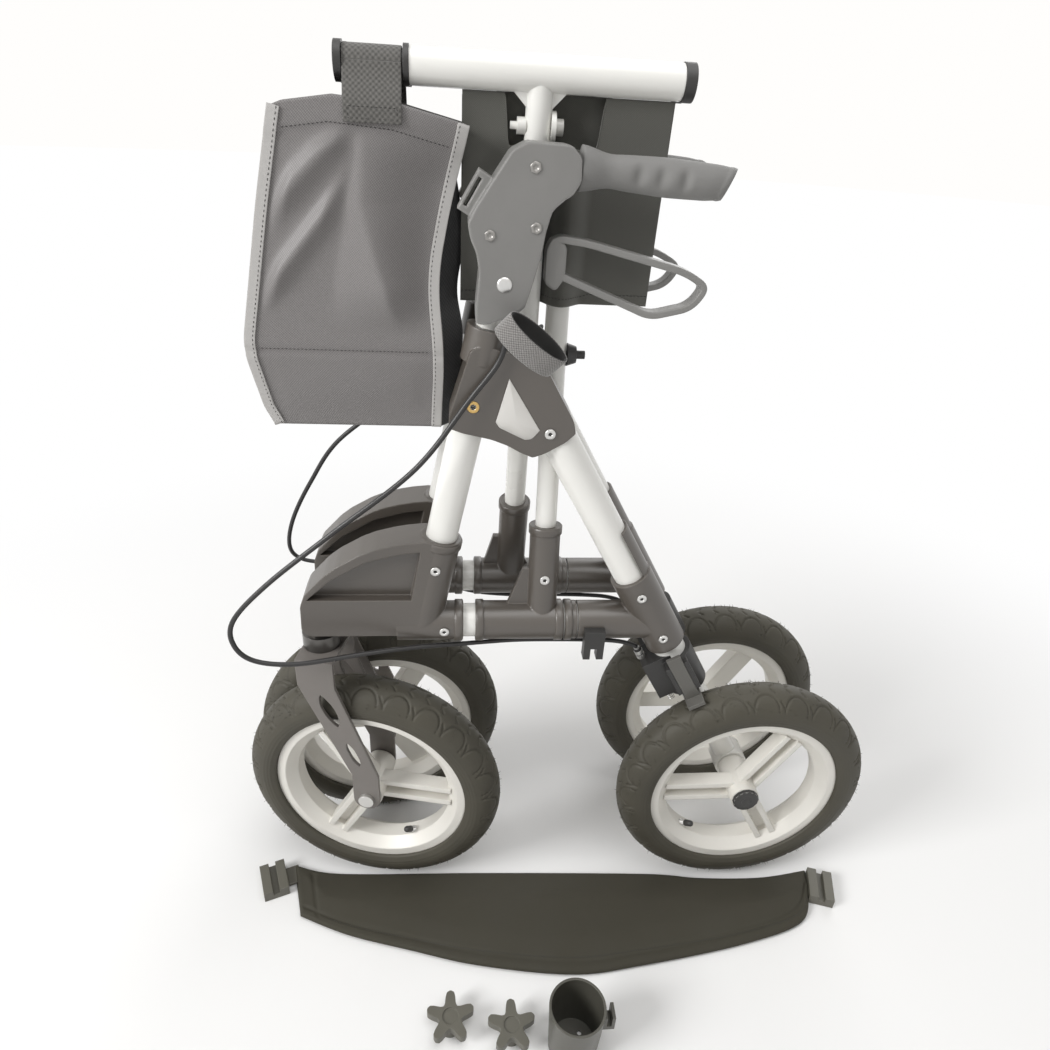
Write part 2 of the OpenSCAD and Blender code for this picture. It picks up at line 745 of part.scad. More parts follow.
// Brake housing on the foot of the rear leg, with a channel for the brake bar and a cable adjuster
module brake_housing() {
    outer = bar_out + bar_t / 2;
    color("black") difference() {
        on_rear_leg(brake_foot) union() {
            cylinder(d = brake_d, h = brake_len);
            translate([-brake_d / 2 - lump_len / 2, -lump_w / 2, lump_foot - brake_foot])
                cube([brake_d / 2 + lump_len / 2, lump_w, lump_top - lump_foot]);
            translate([-bar_w / 2 - body_gap - channel_wall, -outer, shoe_t * 2])
                cube([bar_w + 2 * (body_gap + channel_wall), outer, brake_len - shoe_t * 2]);
        }
        on_rear_leg(stay_top) translate([0, 0, tube_wall - seat_gap])
            cylinder(d = rear_leg_d + 2 * seat_gap, h = brake_len);
        on_rear_leg(0) translate([0, stay_in, brake_foot - overrun])
            cylinder(d = stay_d + 2 * seat_gap, h = stay_top - brake_foot + overrun + seat_gap);
        on_rear_leg(brake_foot - overrun) translate([-bar_w / 2 - body_gap, -outer - overrun, 0])
            cube([bar_w + 2 * body_gap, bar_t + overrun + body_gap, brake_len * 2]);
    }
    color("silver") on_rear_leg(lump_top) translate([-adjuster_fwd, 0, 0])
        cylinder(d = adjuster_d, h = adjuster_h);
}

// White stay from the brake housing to the axle, with the axle's boss
module axle_stay() {
    boss_y = -fold_half + stay_in;
    hub_face = -fold_half - rear_wheel_out + hub_len / 2;
    color("whitesmoke") difference() {
        on_rear_leg(0) translate([0, stay_in, 0]) cylinder(d = stay_d, h = stay_top);
        translate([rear_axle_x, hub_face + body_gap, axle_z]) rotate([-90, 0, 0])
            cylinder(d = axle_d - tube_wall, h = hub_len);
    }
    color("whitesmoke") translate([rear_axle_x, hub_face + body_gap, axle_z]) rotate([-90, 0, 0])
        cylinder(d = boss_d, h = boss_y - hub_face + stay_d / 2);
    color("silver") on_axle(rear_axle_x, hub_face + body_gap + stay_d / 2)
        cylinder(d = axle_d, h = stay_d / 2 + body_gap + hub_len - axle_short);
}

// Flat bar that presses its shoe on the rear tyre's tread
module brake_bar() {
    foot = tyre_r + shoe_gap;
    color("dimgray") on_rear_leg(0) {
        translate([-bar_w / 2, -bar_out - bar_t / 2, foot + shoe_t])
            cube([bar_w, bar_t - body_gap, bar_top - foot - shoe_t]);
        translate([-shoe_len / 2, -rear_wheel_out - shoe_w / 2, foot]) cube([shoe_len, shoe_w, shoe_t]);
    }
}

module brake_cable(route) {
    color("black") cord(route, cable_d);
}

module handle_tube() {
    color("whitesmoke") difference() {
        rod(front_leg_at(handle_tube_z), front_leg_at(casing_z + casing_h * 2 / 3), handle_tube_d);
        rod(front_leg_at(handle_tube_z - overrun), front_leg_at(casing_z + casing_h),
            handle_tube_d - 2 * tube_wall);
    }
}

// Moulded casing that joins the handle tube, the grip and the lever
module handle_casing() {
    color("dimgray") difference() {
        union() {
            on_casing() slab(0, casing_w)
                polygon(softened(stretched(casing_shares, [casing_len, casing_h]), edge_r));
            on_casing() translate([tab_x, 0, tab_z]) rotate([0, tab_lean, 0])
                translate([-tab_stand, -casing_w / 4, -tab_len / 2]) difference() {
                    cube([tab_stand * 2, casing_w / 2, tab_len]);
                    translate([tab_t / 2, -overrun, tab_t])
                        cube([tab_stand - tab_t, casing_w, tab_len - 2 * tab_t]);
                }
        }
        rod(front_leg_at(casing_z - casing_h), front_leg_at(casing_z + casing_h * 2 / 3 + seat_gap),
            handle_tube_d + 2 * seat_gap);
        on_casing() slab(0, lever_w + 2 * body_gap) translate([eye_x, eye_z]) {
            circle(d = eye_d + 2 * body_gap);
            translate([0, -eye_d / 2 - body_gap]) square([eye_d * 2, eye_d + 2 * body_gap]);
        }
    }
    color("silver") on_casing() translate([eye_x, 0, eye_z]) rotate([90, 0, 0])
        cylinder(d = lever_pin_d, h = lever_w + 2 * body_gap + 2 * tube_wall, center = true);
}

// The casing's own frame: its lowest point and front edge, on its middle plane
module on_casing() {
    translate([front_leg_at(grip_z).x - casing_front, casing_y, casing_z]) children();
}

// Moulded hand grip with a waist and a slanted end
module grip() {
    color("black") on_casing() translate([casing_len + grip_gap, 0, grip_z - casing_z])
        rotate([0, 90 + grip_slope, 0]) difference() {
            rotate_extrude() polygon(concat([[0, 0]], [for (p = grip_shares) [p.y * grip_d, p.x * grip_len]],
                [[0, grip_len]]));
            translate([0, 0, grip_len]) rotate([0, grip_cut_tilt, 0]) translate([-grip_d, -grip_d, 0])
                cube([2 * grip_d, 2 * grip_d, grip_d]);
            translate([0, 0, -overrun]) cylinder(d = grip_core_d / 2, h = grip_len / 2);
        }
}

// Closed loop of flat band, hinged in the casing
module brake_lever() {
    outer = softened(stretched(lever_shares, [lever_len, lever_h]), edge_r);
    color("dimgray") difference() {
        union() {
            on_casing() translate([lever_x, 0, lever_z]) slab(0, lever_w) difference() {
                polygon(outer);
                offset(delta = -lever_t) polygon(outer);
            }
            on_casing() slab(0, lever_w) translate([eye_x, eye_z]) {
                circle(d = eye_d);
                translate([0, -eye_d / 3]) square([eye_d, eye_d * 2 / 3]);
            }
        }
        on_casing() translate([eye_x, 0, eye_z]) rotate([90, 0, 0])
            cylinder(d = lever_pin_d + 2 * turn_gap, h = lever_w * 2, center = true);
    }
}

// Outline of one fork blade, in the castor's own XZ plane
module blade_outline() {
    rear = blade_top_w - crown_front;
    half = blade_foot_w / 2;
    difference() {
        union() {
            polygon([[-crown_front, crown_z], [rear, crown_z], [rear, shoulder_z],
                [castor_trail + half, knee_z], [castor_trail + half, axle_z], [castor_trail - half, axle_z],
                [castor_trail - half, knee_z], [-crown_front, shoulder_z]]);
            translate([castor_trail, axle_z]) circle(d = blade_foot_w);
        }
        polygon(softened(blade_window(window_top_z, window_foot_z, window_w), window_w));
        polygon(softened(blade_window(slit_top_z, slit_foot_z, slit_w), slit_w));
    }
}

// A window of some width on the middle line of the blade, between two heights
function blade_window(top, foot, w) = [for (p = [[top, 0], [top, 1], [foot, 1], [foot, 0]])
    [blade_middle(p.x) + (p.y * 2 - 1) * w / 2, p.x]];
function blade_middle(z) = let (start = blade_top_w / 2 - crown_front)
    start + (castor_trail - start) * (shoulder_z - z) / (shoulder_z - knee_z);

module fork(turn) {
    width = fork_gap + 2 * blade_t;
    color("dimgray") on_castor(turn) difference() {
        union() {
            for (side = [-1, 1]) slab(side * (fork_gap + blade_t) / 2, blade_t) blade_outline();
            translate([-crown_front, -width / 2, crown_z - crown_t]) cube([blade_top_w, width, crown_t]);
        }
        translate([castor_trail, 0, axle_z]) rotate([90, 0, 0])
            cylinder(d = axle_d + 2 * seat_gap, h = width * 2, center = true);
        translate([0, 0, crown_z - crown_t * 2]) cylinder(d = kingpin_d + 2 * seat_gap, h = crown_t * 3);
    }
}

// Kingpin with its bearing, and the wheel's axle bolt with heads and washers
module castor_hardware(turn) {
    width = fork_gap + 2 * blade_t;
    color("silver") on_castor(turn) {
        translate([0, 0, crown_z - crown_t]) cylinder(d = kingpin_d, h = crown_t + bearing_h + kingpin_h);
        translate([0, 0, crown_z + seat_gap]) cylinder(d = bearing_d, h = bearing_h - crown_t);
        translate([0, 0, crown_z + bearing_h - crown_t]) cylinder(d = bearing_neck_d, h = crown_t);
        translate([castor_trail, 0, axle_z]) rotate([90, 0, 0])
            cylinder(d = axle_d, h = width + 2 * bolt_head_t, center = true);
        for (side = [-1, 1]) translate([castor_trail, 0, axle_z]) rotate([90, 0, 0]) {
            translate([0, 0, side * (width + bolt_head_t + 2 * seat_gap) / 2])
                cylinder(d = bolt_head_d, h = bolt_head_t, center = true);
            translate([0, 0, side * (fork_gap + hub_len) / 4])
                cylinder(d = washer_d, h = (fork_gap - hub_len) / 2 - body_gap, center = true);
        }
    }
}

// Tyre with an open section that clips into the rim
module tyre() {
    seat_r = rim_d / 2 - flange_h;
    mid_r = tyre_r - tyre_w / 2;
    color("black") rotate_extrude($fn = wheel_sides) difference() {
        intersection() {
            translate([mid_r, 0]) circle(d = tyre_w);
            union() {
                translate([rim_d / 2 + tyre_fit, -tyre_w]) square([tyre_r, 2 * tyre_w]);
                translate([seat_r + tyre_fit, -rim_w / 2 + flange_t + tyre_fit])
                    square([tyre_r, rim_w - 2 * flange_t - 2 * tyre_fit]);
            }
        }
        translate([mid_r, 0]) circle(d = tyre_w - 2 * tyre_wall);
    }
}

// Cast rim: stepped barrel, twin-ribbed spokes and a long hub
module rim() {
    seat_r = rim_d / 2 - flange_h;
    half = rim_w / 2;
    step_half = barrel_w / 2;
    color("silver") difference() {
        union() {
            rotate_extrude($fn = wheel_sides) polygon([[rim_d / 2, half], [rim_d / 2, half - flange_t],
                [seat_r, half - flange_t], [seat_r, flange_t - half], [rim_d / 2, flange_t - half],
                [rim_d / 2, -half], [rim_d / 2 - lip_w, -half], [barrel_d / 2, -step_half],
                [barrel_d / 2, step_half], [rim_d / 2 - lip_w, half]]);
            translate([0, 0, -hub_len / 2]) cylinder(d = hub_d, h = hub_len);
            for (i = [0:spoke_count - 1]) rotate([0, 0, (i + 0.5) * 360 / spoke_count]) {
                translate([hub_d / 3, -spoke_w / 2, -web_t / 2])
                    cube([barrel_d / 2 + flange_t - hub_d / 3, spoke_w, web_t]);
                for (side = [-1, 1])
                    translate([hub_d / 4, side * (spoke_w - rib_w) / 2 - rib_w / 2, -web_t / 2])
                        cube([barrel_d / 2 + flange_t - hub_d / 4, rib_w, rib_depth]);
            }
        }
        translate([0, 0, -hub_len]) cylinder(d = axle_d + 2 * turn_gap, h = 2 * hub_len);
    }
}

module rear_rim() {
    rim();
    color("black") translate([0, 0, hub_len / 2 + hub_cap_gap]) cylinder(d = hub_cap_d, h = hub_cap_t);
}

module front_wheel_place(turn) {
    on_castor(turn) on_axle(castor_trail, 0) children();
}

module rear_wheel_place() {
    on_axle(rear_axle_x, -fold_half - rear_wheel_out) children();
}

// One arm of the crossed frame, hinged on this side's lower tube, with the seat tube of the other side
module cross_arm(x) {
    foot = [x, -fold_half, lower_tube_z];
    middle = [x, 0, pivot_z];
    top = [x, seat_half, seat_tube_z];
    start = foot + unit(middle - foot) * (lower_socket_d / 2 + arm_socket_wall);
    inner_d = cross_tube_d - 2 * cross_wall;
    color("whitesmoke") difference() {
        union() {
            rod(start, middle, cross_tube_d);
            translate(middle) sphere(d = cross_tube_d);
            rod(middle, top, cross_tube_d);
            seat_bar(seat_tube_d, 0);
            for (side = [-1, 1]) translate([x, seat_half, seat_tube_z - seat_tube_d / 2]) rotate([90, 0, 0])
                linear_extrude(height = gusset_t, center = true)
                translate([side * (cross_tube_d - gusset_t) / 2, 0])
                polygon([[-side * gusset_t / 2, gusset_t / 2], [side * gusset_len, gusset_t / 2],
                    [-side * gusset_t / 2, -gusset_len]]);
        }
        rod(start - unit(middle - foot) * overrun, middle, inner_d);
        rod(middle, top - unit(top - middle) * seat_tube_d / 2, inner_d);
        seat_bar(seat_tube_d - 2 * tube_wall, overrun);
        translate([x, 0, pivot_z]) rotate([0, 90, 0])
            cylinder(d = pivot_d + 2 * turn_gap, h = cross_tube_d * 2, center = true);
    }
    color("silver") link_bolt(x);
}

// The seat tube's bar, lengthened at both ends by some amount
module seat_bar(d, extra) {
    translate([-seat_front_x - extra, seat_half, seat_tube_z]) rotate([0, 90, 0])
        cylinder(d = d, h = seat_front_x + seat_rear_x + 2 * extra);
}

// Short bolt with a nut and a wide washer, below the seat tube
module link_bolt(x) {
    y = seat_half * (link_bolt_z - pivot_z) / (seat_tube_z - pivot_z);
    half = cross_tube_d / 2;
    nut_h = link_nut_d / 2;
    for (end = [[-1, link_nut_d, nut_h], [1, link_washer_d, link_washer_t],
        [1, link_nut_d, nut_h + link_washer_t]])
        translate([x + end[0] * (half - overrun / 2), y, link_bolt_z]) rotate([0, end[0] * 90, 0])
            cylinder(d = end[1], h = end[2] + overrun / 2);
    translate([x - half - link_tail, y, link_bolt_z]) rotate([0, 90, 0])
        cylinder(d = link_bolt_d, h = link_tail);
}

// Sleeve that turns on the lower tube and carries one arm
module cross_sleeve(x) {
    foot = [x, -fold_half, lower_tube_z];
    middle = [x, 0, pivot_z];
    along = unit(middle - foot);
    socket_top = foot + along * (arm_socket_z - lower_tube_z) / along.z;
    socket_od = cross_tube_d + 2 * arm_socket_wall;
    wing_front = min(wing_len + socket_od / 2, sleeve_front_x + x - wing_t);
    wing_rear = min(wing_len, -sleeve_rear_x - x - wing_t);
    color("dimgray") difference() {
        union() {
            frame_bar(-sleeve_front_x, -sleeve_rear_x, lower_tube_z, lower_socket_d);
            rod(foot, socket_top, socket_od);
            translate(foot) rotate([-arm_lean, 0, 0]) translate([0, wing_t / 2, 0]) rotate([90, 0, 0])
                linear_extrude(height = wing_t) polygon([[-wing_front, 0], [wing_rear, 0], [0, wing_h],
                    [-socket_od / 2 - wing_t, wing_h]]);
        }
        frame_bar(-sleeve_front_x - overrun, -sleeve_rear_x + overrun, lower_tube_z,
            lower_tube_d + 2 * turn_gap);
        rod(foot + along * (lower_socket_d / 2 + arm_socket_wall - seat_gap), socket_top + along * overrun,
            cross_tube_d + 2 * seat_gap);
    }
}

// Black bag peg and rear cap of one seat tube
module seat_caps() {
    flange_d = seat_tube_d + 2 * cap_lip;
    color("black") translate([0, seat_half, seat_tube_z]) rotate([0, 90, 0]) {
        translate([0, 0, -seat_front_x - peg_len]) cylinder(d = peg_d, h = peg_len - seat_gap);
        translate([0, 0, -seat_front_x - peg_len]) cylinder(d = flange_d, h = peg_flange_t);
        translate([0, 0, -seat_front_x - cap_len / 2]) cylinder(d = flange_d, h = cap_len / 2 - seat_gap);
        translate([0, 0, seat_rear_x + seat_gap]) cylinder(d = flange_d, h = cap_len);
    }
}

// Half of the seat cloth, hanging from this side's seat tube to the middle fold.
// It is notched round the arms below the tube, and passes between them further down.
module seat(bulge) {
    top_z = seat_tube_z - seat_tube_d / 2 - body_gap;
    foot_z = seat_tube_z - cloth_drop;
    foot_y = -cloth_t / 2 - cloth_fold_gap;
    rear_x = seat_rear_x - cloth_rear_gap;
    notch_front = right_arm_x + cross_tube_d / 2 + link_tail + arm_clear;
    notch_rear = left_arm_x - cross_tube_d / 2 - link_washer_t - link_nut_d / 2 - arm_clear;
    wave = function (x, drop) cloth_wave * min(1, drop / notch_h)
        * (swell((x + right_arm_x) / wave_half) - swell((x + left_arm_x) / wave_half));
    sheet = [for (i = [0:cloth_cells]) for (k = [0:cloth_rows])
        let (x = rear_x - cloth_len * (1 - i / cloth_cells), z = top_z + (foot_z - top_z) * k / cloth_rows,
            y = -seat_half + (foot_y + seat_half) * (seat_tube_z - z) / cloth_drop)
        [x, y + bulge * wave(x, top_z - z), z]];
    count = len(sheet);
    rows = cloth_rows + 1;
    points = concat([for (p = sheet) p - [0, cloth_t / 2, 0]], [for (p = sheet) p + [0, cloth_t / 2, 0]]);
    near = [for (i = [0:cloth_cells - 1]) for (k = [0:cloth_rows - 1]) let (a = i * rows + k)
        each [[a, a + 1, a + rows], [a + rows, a + 1, a + rows + 1]]];
    far = [for (f = near) [f[0] + count, f[2] + count, f[1] + count]];
    rim = concat([for (k = [0:cloth_rows]) k], [for (i = [1:cloth_cells]) i * rows + cloth_rows],
        [for (k = [cloth_rows - 1:-1:0]) cloth_cells * rows + k],
        [for (i = [cloth_cells - 1:-1:1]) i * rows]);
    edge = [for (j = [0:len(rim) - 1]) let (a = rim[j], b = rim[(j + 1) % len(rim)])
        each [[a, a + count, b], [b, a + count, b + count]]];
    color("darkslategray") difference() {
        polyhedron(points = points, faces = turned(concat(near, far, edge)));
        translate([-notch_front, -fold_half, top_z - notch_h])
            cube([notch_front - notch_rear, 2 * fold_half, notch_h + overrun]);
    }
}

// A smooth rise from 0 to 1 and back, over the span from -1 to 1
function swell(u) = max(0, 1 - u ^ 2) ^ 2;

// Half of the open-topped bag, with its webbing loop round the bag peg
module bag() {
    outline = softened(stretched(bag_shares, [bag_len, bag_h]), edge_r);
    loop_r = peg_d / 2 + body_gap;
    loop_x = -seat_front_x - peg_len + peg_flange_t + body_gap;
    color("dimgray") difference() {
        translate([-bag_x, 0, bag_z]) slab(-(bag_half + cloth_fold_gap) / 2, bag_half - cloth_fold_gap)
            polygon(outline);
        for (rise = [0, bag_wall * 3])
            translate([-bag_x, 0, bag_z + rise])
                slab(-(bag_half - bag_wall) / 2 + overrun, bag_half - bag_wall + 2 * overrun)
                offset(delta = -bag_wall) polygon(outline);
    }
    color("dimgray") difference() {
        union() {
            translate([loop_x, -seat_half, seat_tube_z]) rotate([0, 90, 0])
                cylinder(r = loop_r + loop_t, h = loop_w);
            hull() {
                translate([loop_x, -seat_half - loop_r - loop_t, seat_tube_z - loop_r])
                    cube([loop_w, loop_t, loop_r]);
                translate([loop_x, -bag_half, seat_tube_z - loop_tail]) cube([loop_w, bag_wall, loop_t]);
            }
        }
        translate([loop_x - overrun, -seat_half, seat_tube_z]) rotate([0, 90, 0])
            cylinder(r = loop_r, h = loop_w + 2 * overrun);
    }
}

// Bolt, spacer and caps of the crossing pivot
module cross_pivot() {
    half = cross_tube_d / 2;
    gap = right_arm_x - left_arm_x - cross_tube_d;
    color("dimgray") translate([0, 0, pivot_z]) rotate([0, 90, 0]) {
        translate([0, 0, -right_arm_x - half - pivot_head_t])
            cylinder(d = pivot_d, h = gap + 2 * cross_tube_d + pivot_head_t + pivot_cone_len * 2);
        translate([0, 0, -right_arm_x - half - pivot_head_t - body_gap])
            cylinder(d = pivot_head_d, h = pivot_head_t);
        translate([0, 0, -right_arm_x + half + body_gap]) cylinder(d = pivot_head_d, h = gap - 2 * body_gap);
        translate([0, 0, -left_arm_x + half + body_gap])
            cylinder(d1 = pivot_cone_d, d2 = pivot_head_d, h = pivot_cone_len);
    }
}

// Loop of touch-fasten tape that gathers the brake cable under the left casing
module cable_strap() {
    color("gray") on_casing() translate(velcro_place) rotate([0, velcro_tilt, 0]) {
        difference() {
            scale([1, velcro_depth / velcro_len, 1]) cylinder(d = velcro_len, h = velcro_w);
            translate([0, 0, -overrun])
                scale([1, (velcro_depth - 2 * velcro_t) / (velcro_len - 2 * velcro_t), 1])
                cylinder(d = velcro_len - 2 * velcro_t, h = velcro_w + 2 * overrun);
        }
        translate([velcro_t / 2 - velcro_len / 2, velcro_t * 2, velcro_w / 4]) cube(velcro_tongue);
    }
}

// Cup holder with drain holes and a clip
module cup_holder() {
    taper = (cup_d - cup_base_d) / cup_h;
    color("darkolivegreen") translate([cup_place.x, cup_place.y, 0]) difference() {
        union() {
            cylinder(d1 = cup_base_d, d2 = cup_d, h = cup_h);
            translate([cup_base_d / 2 - cup_wall, -cup_clip.y / 2, cup_clip_z]) difference() {
                cube([cup_clip.x + (cup_d - cup_base_d) / 2 + cup_wall, cup_clip.y, cup_clip.z]);
                translate([cup_clip.x - cup_wall, -overrun, cup_clip.z / 4])
                    cube([cup_clip_slot, cup_clip.y + 2 * overrun, cup_clip.z]);
            }
        }
        translate([0, 0, cup_wall]) cylinder(d1 = cup_base_d + taper * cup_wall - 2 * cup_wall,
            d2 = cup_d + taper * overrun - 2 * cup_wall, h = cup_h - cup_wall + overrun);
        for (i = [0:drain_count - 1]) rotate([0, 0, (i + 0.5) * 360 / drain_count])
            translate([drain_ring_d / 2, 0, -overrun]) cylinder(d = drain_d, h = cup_wall + 2 * overrun);
    }
}

// Two five-armed clamp knobs, each with its threaded stud inside a skirt
module clamp_knobs() {
    star = [for (i = [0:knob_arms - 1]) let (a = 90 + i * 360 / knob_arms) each concat(
        [for (p = star_shares) [cos(a - 90) * p.x + cos(a) * p.y, sin(a - 90) * p.x + sin(a) * p.y]],
        [for (k = [len(star_shares) - 1:-1:0]) let (p = star_shares[k])
            [-cos(a - 90) * p.x + cos(a) * p.y, -sin(a - 90) * p.x + sin(a) * p.y]])];
    color("darkolivegreen") for (place = [first_knob_place, second_knob_place])
        translate([place.x, place.y, 0]) {
        difference() {
            union() {
                translate([0, 0, knob_h - knob_plate_t]) linear_extrude(height = knob_plate_t)
                    polygon(softened(star * knob_d / 2, star_r));
                translate([0, 0, knob_h - knob_plate_t]) cylinder(d = knob_hub_d, h = knob_plate_t);
                cylinder(d = knob_skirt_d, h = knob_h - knob_dish * 2);
            }
            translate([0, 0, -overrun])
                cylinder(d = knob_skirt_d - 2 * knob_skirt_wall, h = knob_h - knob_plate_t + overrun);
            translate([0, 0, knob_h - knob_dish]) cylinder(d = knob_dish_d, h = knob_dish + overrun);
        }
        translate([0, 0, stud_rise]) cylinder(d = thread_d, h = knob_h - knob_plate_t);
    }
}

// Padded back strap lying flat, its crown highest along the middle
module back_strap() {
    shape = softened(stretched(strap_shares, [strap_len, strap_depth]), strap_corner_r);
    middle = [strap_len / 2, strap_depth / 2];
    count = len(shape);
    points = concat([for (p = shape) [p.x, p.y, 0]],
        [for (r = crown_shares) for (p = shape) let (q = middle + (p - middle) * r)
            [q.x, q.y, strap_edge_t + strap_crown * (1 - r ^ 2)]],
        [[middle.x, middle.y, strap_edge_t + strap_crown], [middle.x, middle.y, 0]]);
    top = count * (len(crown_shares) + 1);
    walls = [for (level = [0:len(crown_shares) - 1]) for (k = [0:count - 1])
        let (a = level * count + k, b = level * count + (k + 1) % count)
        each [[a, a + count, b], [b, a + count, b + count]]];
    crown = [for (k = [0:count - 1]) [top - count + k, top, top - count + (k + 1) % count]];
    base = [for (k = [0:count - 1]) [(k + 1) % count, top + 1, k]];
    color("dimgray") translate([strap_place.x, strap_place.y, 0])
        polyhedron(points = points, faces = turned(concat(walls, crown, base)));
}

// Slotted clips at the strap's ends, each with a tongue sewn into the strap
module strap_clips() {
    color("dimgray") for (i = [0, 1]) translate([strap_place.x + strap_len * clip_shares[i].x,
        strap_place.y + strap_depth * clip_shares[i].y, 0]) rotate([0, 0, clip_turns[i] + i * 180]) {
        difference() {
            translate([-clip_len / 2, -clip_depth / 2, 0]) cube([clip_len, clip_depth, clip_t]);
            translate([-clip_slot / 2, -clip_depth, clip_t / 2]) cube([clip_slot, 2 * clip_depth, clip_t]);
        }
        translate([clip_len / 2 - tongue_t, -tongue_w / 2, (strap_edge_t - tongue_t) / 2])
            cube([tongue_t + tongue_len, tongue_w, tongue_t]);
    }
}

on_left() lower_tube();  // left_lower_tube
on_left() front_leg();  // left_front_leg
on_left() rear_leg();  // left_rear_leg
on_left() top_joint();  // left_top_joint
on_left() frame_fasteners();  // left_frame_fasteners
on_left() stick_clip();  // left_stick_clip
on_left() front_housing();  // left_front_housing
on_left() rear_housing();  // left_rear_housing
on_left() brake_housing();  // left_brake_housing
on_left() axle_stay();  // left_axle_stay
on_left() brake_bar();  // left_brake_bar
on_left() brake_cable(left_cable_route);  // left_brake_cable
on_left() handle_tube();  // left_handle_tube
on_left() handle_casing();  // left_handle_casing
on_left() grip();  // left_grip
on_left() brake_lever();  // left_brake_lever
on_left() fork(left_castor_turn);  // left_fork
on_left() castor_hardware(left_castor_turn);  // left_castor_hardware
on_left() front_wheel_place(left_castor_turn) tyre();  // left_front_tyre
on_left() front_wheel_place(left_castor_turn)  // left_front_rim
    rotate([0, 0, left_front_spin]) rim();
on_left() rear_wheel_place() tyre();  // left_rear_tyre
on_left() rear_wheel_place() rear_rim();  // left_rear_rim
on_left() cross_arm(-left_arm_x);  // left_cross_arm
on_left() cross_sleeve(-left_arm_x);  // left_cross_sleeve
on_right() seat_caps();  // left_seat_caps
on_left() seat(1);  // left_seat
on_left() bag();  // left_bag
on_right() lower_tube();  // right_lower_tube
on_right() front_leg();  // right_front_leg
on_right() rear_leg();  // right_rear_leg
on_right() top_joint();  // right_top_joint
on_right() frame_fasteners();  // right_frame_fasteners
on_right() stick_clip();  // right_stick_clip
on_right() front_housing();  // right_front_housing
on_right() rear_housing();  // right_rear_housing
on_right() brake_housing();  // right_brake_housing
on_right() axle_stay();  // right_axle_stay
on_right() brake_bar();  // right_brake_bar
on_left() brake_cable(right_cable_route);  // right_brake_cable
on_right() handle_tube();  // right_handle_tube
on_right() handle_casing();  // right_handle_casing
on_right() grip();  // right_grip
on_right() brake_lever();  // right_brake_lever
on_right() fork(right_castor_turn);  // right_fork
on_right() castor_hardware(right_castor_turn);  // right_castor_hardware
on_right() front_wheel_place(right_castor_turn) tyre();  // right_front_tyre
on_right() front_wheel_place(right_castor_turn) rim();  // right_front_rim
on_right() rear_wheel_place() tyre();  // right_rear_tyre
on_right() rear_wheel_place() rear_rim();  // right_rear_rim
on_right() cross_arm(-right_arm_x);  // right_cross_arm
on_right() cross_sleeve(-right_arm_x);  // right_cross_sleeve
on_left() seat_caps();  // right_seat_caps
on_right() seat(-1);  // right_seat
on_right() bag();  // right_bag
on_left() cross_pivot();
on_left() cable_strap();
on_left() cup_holder();
on_left() clamp_knobs();
on_left() back_strap();
on_left() strap_clips();
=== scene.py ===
"""An all terrain rollator, folded, with its back strap, clamp knobs and cup holder laid beside it."""
import math

import bmesh
import bpy
import numpy as np
from mathutils import Matrix, Vector


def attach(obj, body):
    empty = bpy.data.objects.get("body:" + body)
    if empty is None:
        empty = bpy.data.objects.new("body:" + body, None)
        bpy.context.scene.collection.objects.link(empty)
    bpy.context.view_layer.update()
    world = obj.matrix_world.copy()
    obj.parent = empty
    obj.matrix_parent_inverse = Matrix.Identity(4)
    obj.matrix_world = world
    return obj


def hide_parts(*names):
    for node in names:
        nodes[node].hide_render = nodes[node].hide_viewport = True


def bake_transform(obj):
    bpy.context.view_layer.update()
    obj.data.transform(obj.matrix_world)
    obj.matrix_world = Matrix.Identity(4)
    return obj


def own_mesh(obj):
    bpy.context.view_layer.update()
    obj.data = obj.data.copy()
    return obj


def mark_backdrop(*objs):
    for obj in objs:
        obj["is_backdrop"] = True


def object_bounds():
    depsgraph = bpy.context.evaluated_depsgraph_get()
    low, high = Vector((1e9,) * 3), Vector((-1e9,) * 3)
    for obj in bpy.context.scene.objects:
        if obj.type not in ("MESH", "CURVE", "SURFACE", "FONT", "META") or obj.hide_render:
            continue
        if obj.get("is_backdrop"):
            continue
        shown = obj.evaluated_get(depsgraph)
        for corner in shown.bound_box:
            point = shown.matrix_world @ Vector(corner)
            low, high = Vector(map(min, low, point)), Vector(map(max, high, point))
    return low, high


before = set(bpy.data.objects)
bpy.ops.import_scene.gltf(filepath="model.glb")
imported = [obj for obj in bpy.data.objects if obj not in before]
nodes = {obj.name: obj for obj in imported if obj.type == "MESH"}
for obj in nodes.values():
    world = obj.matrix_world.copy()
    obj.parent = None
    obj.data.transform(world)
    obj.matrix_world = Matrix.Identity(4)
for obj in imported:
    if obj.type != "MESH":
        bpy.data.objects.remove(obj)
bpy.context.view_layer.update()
scene = bpy.context.scene
scene.view_settings.view_transform = "Standard"

# CAMERA
# The rollator is seen from the user's left, a little from the front and from above, close enough for
# strong perspective. Lengths below are millimetres from the rollator's own middle plane and wheelbase.
middle = np.array([-0.00065, 0.10495, 0.0])
yaw, pitch, roll = np.radians([6.2188, 29.3121, 3.428])
ahead = np.array([math.sin(yaw) * math.cos(pitch), math.cos(yaw) * math.cos(pitch), -math.sin(pitch)])
level = np.array([math.cos(yaw), -math.sin(yaw), 0.0])
upright = np.cross(level, ahead)
across = level * math.cos(roll) + upright * math.sin(roll)
above = upright * math.cos(roll) - level * math.sin(roll)
stand = np.array([-0.1296, -0.696, 0.8669]) + middle
photo_px, focal_px = 1050, 739.73


def linked(name, data):
    """A new object of that data, in the scene and at its origin."""
    thing = bpy.data.objects.new(name, data)
    scene.collection.objects.link(thing)
    return thing


